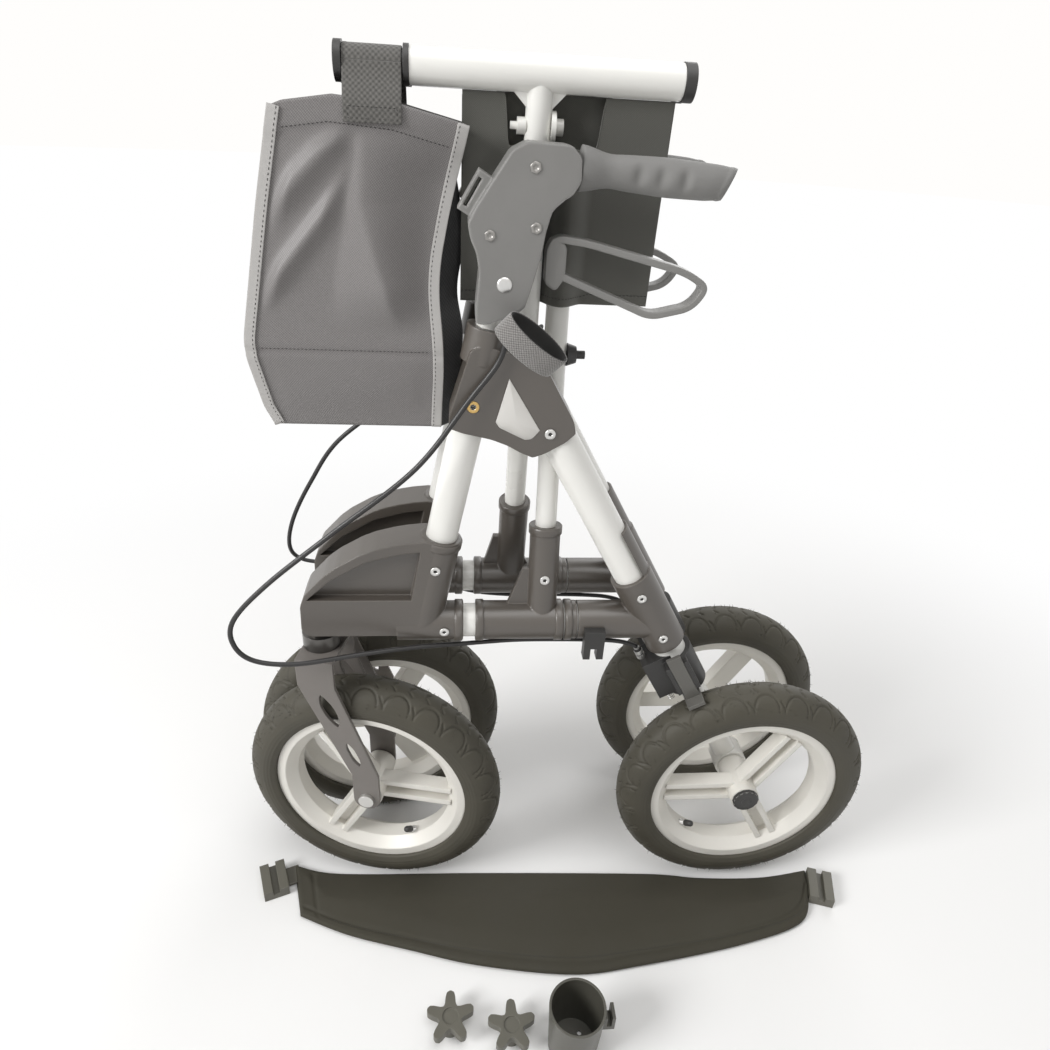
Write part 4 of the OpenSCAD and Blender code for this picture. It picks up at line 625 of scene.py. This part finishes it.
# SEAT CLOTH
# Two panels of dark woven polyester hang from the seat tubes and are sewn together at the middle fold.
# Folded, each panel swings out and in round the arms of the cross.
weave, weave_in, weave_out = node_group("plain_weave", {"Threads": 700.0}, {"Height": "NodeSocketFloat"})
weave_map = add(weave, "UVMap", uv_map="length")
weave_split = add(weave, "SeparateXYZ", {0: weave_map.outputs["UV"]})
weave_waves = []
for axis in ("X", "Y"):
    turn = maths(weave, "MULTIPLY", weave_split.outputs[axis], weave_in.outputs["Threads"])
    weave_waves.append(maths(weave, "SINE", maths(weave, "MULTIPLY", turn, math.pi)))
weave_half = maths(weave, "MULTIPLY_ADD", maths(weave, "MULTIPLY", *weave_waves), 0.5, 0.5)
weave.links.new(weave_half, weave_out.inputs["Height"])


def fabric_finish(name, color, rough, threads, depth, speck=0.25, sheen=0.2):
    """A woven cloth: threads and flecks, as bump and tone over the cloth's own lengths."""
    material, tree, shader = new_finish(name)
    shader["Roughness"].default_value = rough
    shader["Sheen Weight"].default_value = sheen
    shader["Sheen Roughness"].default_value = 0.5
    shader["Specular IOR Level"].default_value = 0.25
    cloth = add(tree, "Group", {"Threads": threads}, node_tree=weave)
    fleck = add(tree, "Group", {"Scale": threads * 1.3}, node_tree=grain)
    tone = maths(tree, "ADD", fleck.outputs["Height"], cloth.outputs["Height"])
    tone = maths(tree, "MULTIPLY", tone, 0.5)
    low, high = tinted(color, 1 - 1.6 * speck), tinted(color, 1 + 1.6 * speck)
    tree.links.new(mixed(tree, tone, low, high), shader["Base Color"])
    bump = add(tree, "Bump", {"Height": tone, "Strength": 1.0, "Distance": depth})
    tree.links.new(bump.outputs["Normal"], shader["Normal"])
    return material


def evenly(line, count):
    """The same line, cut into points at even spaces along it."""
    run = np.append(0, np.linalg.norm(np.diff(line, axis=0), axis=1).cumsum())
    s = np.linspace(0, run[-1], count)
    return np.stack([np.interp(s, run, line[:, k]) for k in range(line.shape[1])], 1)


def stitches(name, line, out, pitch=0.0034, size=(0.0013, 0.0004, 0.0003)):
    """A seam: small octahedra at even spaces along a line, each as long, wide and high as size says."""
    count = int(np.linalg.norm(np.diff(line, axis=0), axis=1).sum() / pitch)
    here = evenly(line, 2 * count + 1)
    here, t = here[1::2], unit(here[2::2] - here[:-2:2])
    n = unit(np.broadcast_to(np.asarray(out, float), t.shape) - t * (t * out).sum(1, keepdims=True))
    ways = np.stack([t, np.cross(t, n), n], 1) * np.array(size)[:, None]
    arms = np.stack([ways, -ways], 2).reshape(count, 6, 3)
    octahedron = [[0, 2, 4], [2, 1, 4], [1, 3, 4], [3, 0, 4], [2, 0, 5], [1, 2, 5], [3, 1, 5], [0, 3, 5]]
    return facets(name, here[:, None] + arms, octahedron)


def smooth(t):
    """A step that leaves nought and reaches one without a corner."""
    t = np.clip(t, 0, 1)
    return t * t * (3 - 2 * t)


def swell(u):
    """A rounded hump of height one and half width one."""
    return np.maximum(0, 1 - u ** 2) ** 2


def slab(x, y, z, half):
    """Closed rows round a sheet: half a thickness before y on the way out, and after it on the way back."""
    return np.concatenate([points_of(x, y - half, z), points_of(x, y + half, z)[:, ::-1]], 1)


seat_cloth = fabric_finish("seat_cloth", (0.115, 0.114, 0.102), 0.72, 1400, 0.00006, sheen=0.3)
thread_dark = rigid_finish("dark_thread", (0.05, 0.048, 0.046), 0.8, wear_sheen=0)
seat_y, seat_z = 14.8, 892
cloth_foot, cloth_fall, cloth_in, notch_deep, wave_out = 711.5, 180.5, 12.95, 38, 15.5
cloth_x = np.linspace(-126, 47, 150)[:, None]
cloth_notch = notch_deep * smooth((cloth_x + 92) / 5) * smooth((-9.5 - cloth_x) / 5)
cloth_bulge = swell((cloth_x + 64) / 21) - swell((cloth_x + 35) / 21)
cloth_t = np.linspace(0, 1, 90)[None]
cloth_half = 1.25 - 0.25 * (np.abs(cloth_t - 0.5) < 0.475)
strip_x = np.linspace(-98, -3, 60)[:, None]
strip_z = np.linspace(826, 878.5, 24)[None]
for side, hem_top in (("left", 878.1), ("right", 874.9)):
    y, body = out_of[side], f"{side}_seat_half"
    cloth_top = hem_top - cloth_notch
    cloth_z = cloth_top + (cloth_foot - cloth_top) * cloth_t
    cloth_drop = seat_z - cloth_z
    wave = wave_out * np.minimum(1, cloth_drop / notch_deep) * cloth_bulge
    mid_y = y * (seat_y - cloth_in * cloth_drop / cloth_fall) + wave
    panel = closed_piece(f"{side}_seat_cloth", at(slab(cloth_x, mid_y, cloth_z, cloth_half)))
    fitted(panel, seat_cloth, body)
    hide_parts(f"{side}_seat")

    # A hem strip of the same cloth closes the notch between the two arms, close to the middle plane.
    strip_y = y * 0.9 + 0.35 * np.sin(strip_x / 9)
    strip = closed_piece(f"{side}_seat_strip", at(slab(strip_x, strip_y, strip_z, 0.5)))
    fitted(strip, seat_cloth, body)
    mid = points_of(cloth_x, mid_y, cloth_z) * 0.001
    seam_line = np.stack([cloth_x[:, 0], mid_y[:, -6] + y * 1.3, cloth_z[:, -6]], 1)
    seam = stitches(f"{side}_seat_seam", at(seam_line), (0, y, 0))
    fitted(seam, thread_dark, body)
    for piece in (panel, strip, seam):
        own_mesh(piece)

# SHOPPING BAG
# Two stiff side panels of flecked grey cloth are joined front and rear by gussets of black mesh, which
# fold when the bag closes. Light tapes bind the edges and wide webbing loops hang it on the seat pegs.
bag_cloth = fabric_finish("bag_cloth", (0.2, 0.19, 0.187), 0.42, 900, 0.00012, speck=0.4, sheen=0.15)
bag_mesh = fabric_finish("bag_mesh", (0.03, 0.03, 0.031), 0.6, 520, 0.0002, speck=0.5, sheen=0.1)
edge_tape = fabric_finish("edge_tape", (0.46, 0.448, 0.435), 0.7, 1500, 0.00008, speck=0.15)
webbing = fabric_finish("webbing", (0.112, 0.108, 0.101), 0.66, 460, 0.0004, speck=0.5)
bag_floor_z, crease_z = 594.6, 668.0


def eased(z, heights, places, reach):
    """Straight stretches through places at heights, averaged over a reach both ways to ease the bends."""
    return sum(np.interp(z + d, heights, places) for d in np.linspace(-reach, reach, 9)) / 9


def bag_front(z):
    """The bag's front edge, as x over the height, eased."""
    return eased(z, [594, 602, 671, 787, 858, 872], [-295, -304, -315.4, -290.8, -273.8, -270], 14)


def bag_rear(z):
    """The bag's rear edge, as x over the height, eased."""
    return eased(z, [594, 666, 735, 800, 853, 872], [-144.8, -141, -147.2, -134.5, -120.5, -117], 24)


def bag_half_width(z):
    """Half the bag's width over the height: even down to the crease, then leaning in to the floor."""
    return 33.6 - 13 * np.clip((crease_z - z) / (crease_z - bag_floor_z), 0, 1)


def bag_top(u):
    """The bag's upper edge over the share of its length."""
    return np.interp(u, [0, 0.06, 0.3, 0.62, 1], [859.5, 863.5, 869.5, 866.2, 853.2])


def panel_relief(u, z):
    """How far a side panel stands out, in millimetres: a three-sided facet that hangs from the loop and
    rises to a crest, the part behind the crest drawn in as a whole, and two folds that run down towards
    the front edge."""
    foot, rear, rear_foot = 0.445, 0.93, 0.94
    crest = np.interp(z, [671, 727, 793, 840], [0.8, 0.72, 0.53, 0.48])
    below = bag_top(u) - 18 - z
    rise = 14 * (crest - foot) / (0.72 - foot) * smooth((z - 684) / 44) * smooth(below / 14)
    facet = sum(np.minimum(np.clip((u + d - foot) / (crest - foot), 0, 1),
                           np.clip((rear_foot - u - d) / (rear_foot - crest), 0, 1))
                for d in np.linspace(-0.018, 0.018, 7)) / 7
    folds = sum(7 * np.exp(-((z - start - slope * (u - front)) / half) ** 2)
                for start, slope, front, half in ((778, 195, 0.03, 17), (708, 239, 0.04, 16)))
    fade = smooth((z - 690) / 24) * smooth(below / 20) * smooth((0.46 - u) / 0.12)
    drawn = 15.5 * smooth((u - crest) / (rear - crest)) * smooth((z - 680) / 100) * smooth((864 - z) / 56)
    edge = smooth((u - 0.06) / 0.1) * smooth((rear - u) / 0.1)
    crease = -1.6 * np.exp(-((z - crease_z) / 3.0) ** 2)
    belly = 2.2 * np.sin(math.pi * u) * swell((z - 634) / 34)
    hem = 0.9 * smooth((z - bag_top(u) + 21) / 2)
    return rise * facet + folds * edge * fade - drawn + crease + belly * edge + hem


def bag_panel(u, v, y):
    """A side panel over the shares of its length and height, outward on side y."""
    z = bag_floor_z + (bag_top(u) - bag_floor_z) * v
    x = bag_front(z) + (bag_rear(z) - bag_front(z)) * u
    return np.stack([x, y * (bag_half_width(z) + panel_relief(u, z)), z], -1)


def bag_gusset(first, last, s, out):
    """A gusset between two edges of panels over the share s: a straight way across, folded by out in
    its middle."""
    pleat = out * (1 - np.abs(2 * s - 1)) * (1 + 0.07 * np.sin(np.arange(len(first))[:, None] * 0.21))
    return first[:, None] * (1 - s[..., None]) + last[:, None] * s[..., None] + pleat[..., None] * [1, 0, 0]


bag_rows, bag_cols, pleat_cols, bag_thick = 110, 90, 23, 0.0016
bag_v = np.linspace(0, 1, bag_rows)[:, None]
bag_u = np.linspace(0, 1, bag_cols)[None]
near, far = bag_panel(bag_u, bag_v, -1), bag_panel(bag_u, bag_v, 1)
gusset_s = np.linspace(0, 1, pleat_cols + 2)[None, 1:-1]
rear_fold = np.interp(near[:, -1:, 2], [775, 815, 845], [18, 0, -12])
front_fold = -6
loops = np.concatenate([near, bag_gusset(near[:, -1], far[:, -1], gusset_s, rear_fold), far[:, ::-1],
                        bag_gusset(far[:, 0], near[:, 0], gusset_s, front_fold)], 1)
floor_rows = np.stack([loops[0] * [1, k, 1] - [0, 0, 0.4 * (1 - k)] for k in (0.004, 0.25, 0.5, 0.75)])
bag_outer = at(np.concatenate([floor_rows, loops]))
along = np.roll(bag_outer, -1, 1) - np.roll(bag_outer, 1, 1)
bag_normal = unit(np.cross(along, np.gradient(bag_outer, axis=0)))
bag_turned = np.sign((bag_normal * [0, 1, 0] * (bag_outer - at([0, 0, 0]))).sum())
bag_inner = bag_outer - bag_thick * bag_normal * bag_turned
bag = sheet_piece("hung_bag", np.concatenate([bag_outer, bag_inner[::-1]]), True, True)
wear(bag, bag_cloth)
bag.data.materials.append(bag_mesh)
column = np.tile(np.arange(bag_outer.shape[1]), 2 * len(bag_outer))
in_rear = (column >= bag_cols) & (column < bag_cols + pleat_cols - 1)
in_front = column >= 2 * bag_cols + pleat_cols
bag.data.polygons.foreach_set("material_index", (in_rear | in_front).astype(np.int32))
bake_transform(bag)
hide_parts("left_bag", "right_bag")


def band(width, thick, count=24):
    """The section of a flat strap: a superellipse of the eighth power."""
    a = (np.arange(count) + 0.5) * 2 * math.pi / count
    return np.stack([np.sign(np.cos(a)) * np.abs(np.cos(a)) ** 0.25 * width / 2,
                     np.sign(np.sin(a)) * np.abs(np.sin(a)) ** 0.25 * thick / 2], 1)


tape_in, tape_wide, tape_thick = 3.6, 0.0095, 0.0016
loop_x, loop_wide, loop_thick, peg_r = -195.1, 0.045, 0.0018, 11.7
loop_tail = ((29.2, 882), (33.6, 871), (35.9, 863), (36.2, 857), (36.2, 851))
loop_box = np.array([[-214, 862], [-176, 862], [-176, 854], [-214, 854], [-214, 862]])
for side, y in out_of.items():
    body = f"{side}_bag_half"
    for end, edge, inward, share in (("front", bag_front, tape_in, 0.0), ("rear", bag_rear, -tape_in, 1.0)):
        z = np.linspace(bag_floor_z + 0.5, bag_top(share) + 0.6, 90)
        tape_y = bag_half_width(z) + panel_relief(share, z)
        tape_line = np.stack([edge(z) + inward, y * (tape_y + 1.0), z], 1)
        tape_grid = carried(at(tape_line), band(tape_wide, tape_thick), (1, 0, 0))
        tape = closed_piece(f"{side}_bag_{end}_tape", tape_grid)
        fitted(tape, edge_tape, body)
        seam_line = np.stack([edge(z) + inward * 1.75, y * (tape_y + 1.95), z], 1)
        seam = stitches(f"{side}_bag_{end}_seam", at(seam_line), (0, y, 0), 0.004)
        fitted(seam, thread_dark, body)
    u = np.linspace(0.07, 0.93, 120)
    for name, z in (("hem", bag_top(u) - 19), ("crease", crease_z + 2.5 + 0 * u)):
        seam_line = np.stack([bag_front(z) + (bag_rear(z) - bag_front(z)) * u,
                              y * (bag_half_width(z) + panel_relief(u, z) + 0.15), z], 1)
        seam = stitches(f"{side}_bag_{name}_seam", at(seam_line), (0, y, 0))
        fitted(seam, thread_dark, body)

    # The loop goes round the peg, and its sewn end runs down the panel's outer face.
    a = np.radians(np.linspace(-60, 180, 40)) if y < 0 else np.radians(np.linspace(240, 0, 40))
    peg = np.stack([0 * a + loop_x, y * seat_y + peg_r * np.cos(a), seat_z + peg_r * np.sin(a)], 1)
    loop_line = flowing(np.concatenate([peg, [[loop_x, y * out, z] for out, z in loop_tail]]), 4)
    loop_grid = carried(at(loop_line), band(loop_wide, loop_thick), (1, 0, 0))
    loop = closed_piece(f"{side}_bag_loop", loop_grid)
    fitted(loop, webbing, body)
    box_line = np.insert(loop_box, 1, y * 37.2, axis=1)
    box_seam = stitches(f"{side}_loop_seam", at(box_line), (0, y, 0))
    fitted(box_seam, thread_dark, body)

# HANDLES
# A two-part grey casing is screwed round the head of each handle tube. It carries a soft grip with finger
# dents and the loop of the brake lever. A hook-and-loop tie hangs on the near one.
# The casing's wide, lighter edges are partly wear and partly a painted highlight.
casing_grey = rigid_finish("casing_grey", (0.21, 0.206, 0.198), 0.44, scale=650, depth=0.00005, patch=0.12,
                           wear_sheen=0.6, wear_sheen_tint=2.1, radius=0.0034)
dull_steel = rigid_finish("dull_steel", (0.3, 0.29, 0.275), 0.36, metallic=0.7, scale=700, depth=0.00003,
                          patch=0.1, wear_sheen=0.4, wear_sheen_tint=1.6, radius=0.0005)
lever_grey = rigid_finish("lever_grey", (0.215, 0.211, 0.202), 0.42, scale=650, depth=0.00005, patch=0.1,
                          wear_sheen=0.5, wear_sheen_tint=2.0, radius=0.0012)
soft_grip = rigid_finish("soft_grip", (0.215, 0.212, 0.205), 0.64, scale=1500, depth=0.00014, patch=0.15,
                         wear_sheen=0.2, wear_sheen_tint=1.6, radius=0.001, specular=0.3)
handle_y, casing_face = 48, 66
casing_screw = [[0, 0.2], [2.2, 0.15], [2.5, 1.0], [4.3, 1.1], [4.9, 0.6], [4.9, -0.5], [0, -0.5]]
casing_rivet = [[0, 1.2], [3.0, 1.2], [4.6, 1.0], [6.2, 0.5], [6.5, -0.4], [0, -0.4]]
lever_shares = np.array([[0.02, 0.94], [0.08, 1], [0.24, 0.96], [0.84, 0.66], [1, 0.46], [0.91, 0.14],
                         [0.65, 0], [0.5, 0.13], [0.06, 0.5], [0, 0.7]])
lever_size, lever_corner = [146, 67], [-56.1, 711]
lever_outline = rounded(lever_shares * lever_size + lever_corner, 16, 9)
lever_way = unit(np.roll(lever_outline, -1, 0) - np.roll(lever_outline, 1, 0))
lever_middle = lever_outline + 3 * np.stack([lever_way[:, 1], -lever_way[:, 0]], 1)
root_outline = rounded([[-55.5, 739], [-46, 733], [-38.5, 744], [-38.5, 770], [-50, 777], [-55.5, 768]], 4)
root_heart = root_outline.mean(0)
lever_eye = [[0, -8], [6, -8], [6.5, -7.5], [6.5, 7.5], [6, 8], [0, 8]]
grip_x, grip_z, grip_long, grip_d = -32, 828, 130, 33
grip_rows, grip_cols, grip_ease = 120, 56, 13
grip_s = np.linspace(0, 1, grip_rows)[:, None]
grip_a = (np.arange(grip_cols) * 2 * math.pi / grip_cols)[None]
grip_shape = np.interp(grip_s[:, 0], [0, 0.05, 0.17, 0.3, 0.55, 0.9, 1],
                       [0.53, 0.5, 0.37, 0.41, 0.45, 0.42, 0.36])
grip_shape = np.pad(grip_shape, grip_ease // 2, mode="edge")
grip_radius = grip_d * np.convolve(grip_shape, np.ones(grip_ease) / grip_ease, "valid")[:, None]
grip_slope = math.radians(3)
end_lean = np.sin(grip_a) * math.tan(math.radians(20)) + np.cos(grip_a) * math.tan(math.radians(16))
for side, y in out_of.items():
    body, lever_body = f"{side}_handle", f"{side}_lever"
    wear(nodes[f"{side}_handle_casing"], casing_grey)

    # The lever is one moulded loop with rounded corners, a root at its near end and an eye for its pin.
    lever_line = np.insert(lever_middle, 1, y * handle_y, axis=1)
    lever_grid = carried(at(lever_line), band(0.016, 0.006, 40), (0, 1, 0), closed=True)
    lever = welded(sheet_piece(f"{side}_lever_loop", lever_grid, True, True))
    fitted(lever, lever_grey, lever_body)
    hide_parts(f"{side}_brake_lever")
    layers = [np.insert(root_heart + (root_outline - root_heart) * k, 1, y * handle_y + d, axis=1)
              for k, d in ((0.9, -8), (0.98, -7.6), (1, -6.8), (1, 6.8), (0.98, 7.6), (0.9, 8))]
    root = closed_piece(f"{side}_lever_root", at(np.stack(layers)))
    fitted(root, lever_grey, lever_body)
    pin_eye = lathe(f"{side}_lever_eye", lever_eye, at([-66.1, y * handle_y, 760]), (0, 1, 0), 32)
    fitted(pin_eye, lever_grey, lever_body)
    for number, (x, z) in enumerate([(-69, 828), (-103, 777), (-66, 784)]):
        place = at([x, y * casing_face, z])
        screw = lathe(f"{side}_casing_screw_{number}", casing_screw, place, (0, y, 0), 6)
        fitted(screw, dull_steel, body)
    rivet = lathe(f"{side}_casing_rivet", casing_rivet, at([-90, y * casing_face, 739]), (0, y, 0))
    fitted(rivet, zinc, body)

    # Finger dents lie on the grip's outer side; its far end is cut aslant, longer above and inside.
    dents = sum(2.7 * np.exp(-((grip_s - s) / 0.038) ** 2) for s in (0.36, 0.5, 0.65))
    lip = 0.7 * np.exp(-((grip_s - 0.975) / 0.02) ** 2)
    radius = grip_radius - dents * swell((grip_a - math.pi) / 0.85) + lip
    along = grip_s * grip_long + smooth((grip_s - 0.6) / 0.4) * (radius * end_lean - 6.0)
    high = radius * np.sin(grip_a)
    skin = points_of(grip_x + along * math.cos(grip_slope) + high * math.sin(grip_slope),
                     y * (handle_y - radius * np.cos(grip_a)),
                     grip_z - along * math.sin(grip_slope) + high * math.cos(grip_slope))
    heel = skin[-1:].mean(1, keepdims=True)
    ends = [heel + (skin[-1:] - heel) * k + [x, 0, 0] for k, x in ((0.86, 0.3), (0.8, -1.6))]
    grip = closed_piece(f"{side}_soft_grip", at(np.concatenate([skin, *ends])))
    fitted(grip, soft_grip, body)
    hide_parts(f"{side}_grip")

# The tie: a band of fuzzy loop over black tape, and its loose tongue.
fuzzy_loop = fabric_finish("fuzzy_loop", (0.2, 0.192, 0.184), 0.9, 700, 0.0006, speck=0.62, sheen=0.6)
black_tape = fabric_finish("black_tape", (0.035, 0.034, 0.033), 0.75, 1500, 0.0001)
tie_lean, tie_tilt = math.radians(38), math.radians(24)
tie_x = np.array([math.cos(tie_lean), 0, -math.sin(tie_lean)])
tie_z = np.array([math.sin(tie_lean) * math.cos(tie_tilt), -math.sin(tie_tilt),
                  math.cos(tie_lean) * math.cos(tie_tilt)])
tie_y = np.cross(tie_z, tie_x)
tie_middle, tie_long, tie_short = np.array([-67.4, -90, 696.7]), 30, 12
a = (np.arange(150) * 2 * math.pi / 150)[:, None]
for name, gap, finish in (("outer", 0.55, fuzzy_loop), ("inner", -0.5, black_tape)):
    line = tie_middle + (tie_long + gap) * np.cos(a) * tie_x + (tie_short + gap) * np.sin(a) * tie_y
    grid = carried(at(line), band(0.022, 0.0011), tie_z, closed=True)
    tie_band = sheet_piece(f"frame_tie_{name}", grid, True, True)
    fitted(tie_band, finish, "left_handle")
tongue_foot = tie_short * tie_y
tongue_line = flowing(tie_middle + np.array([tongue_foot, tongue_foot + [0.5, 5, 0.3], [1.6, 23.6, 1]]), 8)
tongue = closed_piece("frame_tie_tongue", carried(at(tongue_line), band(0.022, 0.0018), tie_z))
fitted(tongue, black_tape, "left_handle")
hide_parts("cable_strap")

# LOOSE PIECES
# A padded back strap with a plastic clip at each end, a cup holder with its hook and two clamp knobs come
# loose with the walker and lie on the floor beside it.
strap_foam = rigid_finish("strap_foam", (0.046, 0.0425, 0.031), 0.75, scale=900, depth=0.00016, patch=0.15,
                          wear_sheen=0.0, radius=0.001, specular=0.3)
olive_plastic = rigid_finish("olive_plastic", (0.112, 0.107, 0.086), 0.42, scale=520, depth=0.00006,
                             patch=0.1, wear_sheen=0.5, wear_sheen_tint=1.8, radius=0.0014)
cup_plastic = rigid_finish("cup_plastic", (0.08, 0.077, 0.063), 0.34, scale=600, depth=0.00005, patch=0.08,
                           wear_sheen=0.5, wear_sheen_tint=2.0, radius=0.001)
upper_shares = np.array([[0, 1], [0.06, 0.92], [0.15, 0.89], [0.36, 0.865], [0.67, 0.8], [0.78, 0.74],
                         [0.9, 0.72], [1, 0.77]])
lower_shares = np.array([[0.03, 0.55], [0.12, 0.38], [0.23, 0.24], [0.35, 0.1], [0.51, 0], [0.63, 0.04],
                         [0.82, 0.16], [0.95, 0.32], [0.99, 0.6]])
strap_size, strap_corner, strap_run = [669, 155], [-332, -218], 640
upper_edge, lower_edge = (
    evenly(flowing(np.insert(shares * strap_size + strap_corner, 2, 0, axis=1), 30), 240)
    for shares in (upper_shares, lower_shares))
strap_width = np.linalg.norm(upper_edge - lower_edge, axis=1)[:, None]
u, v = np.linspace(0, 1, 240)[:, None], np.linspace(0, 1, 48)[None]
ground = lower_edge[:, None] * (1 - v[..., None]) + upper_edge[:, None] * v[..., None]

# The pad is round at its rim, rises to its middle, and is drawn in along a seam beside its lower edge and
# its front end.
rim = np.minimum(np.minimum(v, 1 - v) * strap_width, np.minimum(u, 1 - u) * strap_run)
rim_curve = np.sqrt(np.clip(1 - (1 - np.minimum(rim / 5, 1)) ** 2, 0, 1))
lower_seam, end_seam, seam_half, rim_z = 13, 24, 2.2, 4
seam_gap = np.minimum(np.abs(v * strap_width - lower_seam), np.abs(u * strap_run - end_seam))
seam_cut = 1.7 * np.exp(-(seam_gap / seam_half) ** 2) * smooth((rim - 3) / 6)
top_skin, under_skin = ground.copy(), ground[:, ::-1].copy()
top_skin[..., 2] = rim_z + (4 * rim_curve + 5 * smooth(rim / 45)) - seam_cut
under_skin[..., 2] = (rim_z - 3.7 * rim_curve)[:, ::-1]
pad = welded(sheet_piece("padded_back_strap", at(np.concatenate([top_skin, under_skin], 1)), False, True))
fitted(pad, strap_foam, "strap")
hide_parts("back_strap")
seam_row = int(np.argmin(np.abs(v[0] * 100 - lower_seam)))
pad_seam = stitches("strap_seam", at(top_skin[14:-6, seam_row] + [0, 0, 0.2]), (0, 0, 1))
fitted(pad_seam, thread_dark, "strap")
wear(nodes["strap_clips"], olive_plastic)
wear(nodes["clamp_knobs"], olive_plastic)
wear(nodes["cup_holder"], cup_plastic)

# FLOOR AND LIGHT
# The walker stands on a wide plain pale floor under soft lamps. The floor keeps the shadow and turns white
# further off, where the room beyond it is white too.
floor_near, floor_far = 0.55, 1.5
floor_r = np.array([0.001, 0.4, 0.8, 1.5, 3, 6, 14])[:, None]
floor_a = (np.arange(72) * 2 * math.pi / 72)[None]
floor_grid = points_of(floor_r * np.cos(floor_a), floor_r * np.sin(floor_a), -0.0004)
floor = sheet_piece("pale_floor", floor_grid, ring_cols=True)


def seen_straight(tree):
    """One where a ray comes from the camera, by itself or by a mirror or glass, and nought elsewhere."""
    rays = add(tree, "LightPath").outputs
    seen = maths(tree, "MAXIMUM", rays["Is Camera Ray"], rays["Is Glossy Ray"])
    return maths(tree, "MAXIMUM", seen, rays["Is Transmission Ray"])


pale, pale_tree, pale_shader = new_finish("pale_floor")
pale_shader["Base Color"].default_value = (0.9, 0.897, 0.89, 1)
pale_shader["Roughness"].default_value = 0.9
pale_shader["Specular IOR Level"].default_value = 0.1
pale_place = add(pale_tree, "TexCoord")
pale_away = add(pale_tree, "VectorMath", {0: pale_place.outputs["Object"]}, operation="LENGTH")
pale_far = add(pale_tree, "MapRange", {
    "Value": pale_away.outputs["Value"], "From Min": floor_near, "From Max": floor_far},
    interpolation_type="SMOOTHSTEP")
pale_share = maths(pale_tree, "MULTIPLY", pale_far.outputs["Result"], seen_straight(pale_tree))
pale_white = add(pale_tree, "Emission", {"Color": (1, 1, 1, 1), "Strength": 1.0})
pale_both = add(pale_tree, "MixShader", {
    0: pale_share, 1: pale_tree.nodes["Principled BSDF"].outputs[0], 2: pale_white.outputs[0]})
pale_tree.links.new(pale_both.outputs[0], pale_tree.nodes["Material Output"].inputs["Surface"])
wear(floor, pale)
lamps = []
for name, place, aim, size, power in (("left_lamp", (-2.8, -1.2, 2.0), (0, 0, 0.45), 1.3, 86),
                                      ("top_lamp", (0.3, -0.5, 3.1), (0, 0, 0.3), 2.4, 38),
                                      ("back_lamp", (1.6, 2.6, 1.9), (0, 0, 0.4), 2.6, 34)):
    lamp = bpy.data.lights.new(name, "AREA")
    lamp.shape, lamp.size, lamp.energy = "SQUARE", size, power
    lamps.append(linked(name, lamp))
    lamps[-1].location = place
    lamps[-1].rotation_euler = (Vector(aim) - Vector(place)).to_track_quat("-Z", "Y").to_euler()
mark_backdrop(floor, *lamps)
world = bpy.data.worlds.new("pale_room")
world.use_nodes = True
scene.world = world
room = world.node_tree
room_light = room.nodes["Background"]
room_light.inputs["Color"].default_value = (1, 0.99, 0.975, 1)
room_level = maths(room, "MULTIPLY_ADD", seen_straight(room), 0.66, 0.34)
room.links.new(room_level, room_light.inputs["Strength"])

# The size of the walker.
low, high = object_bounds()
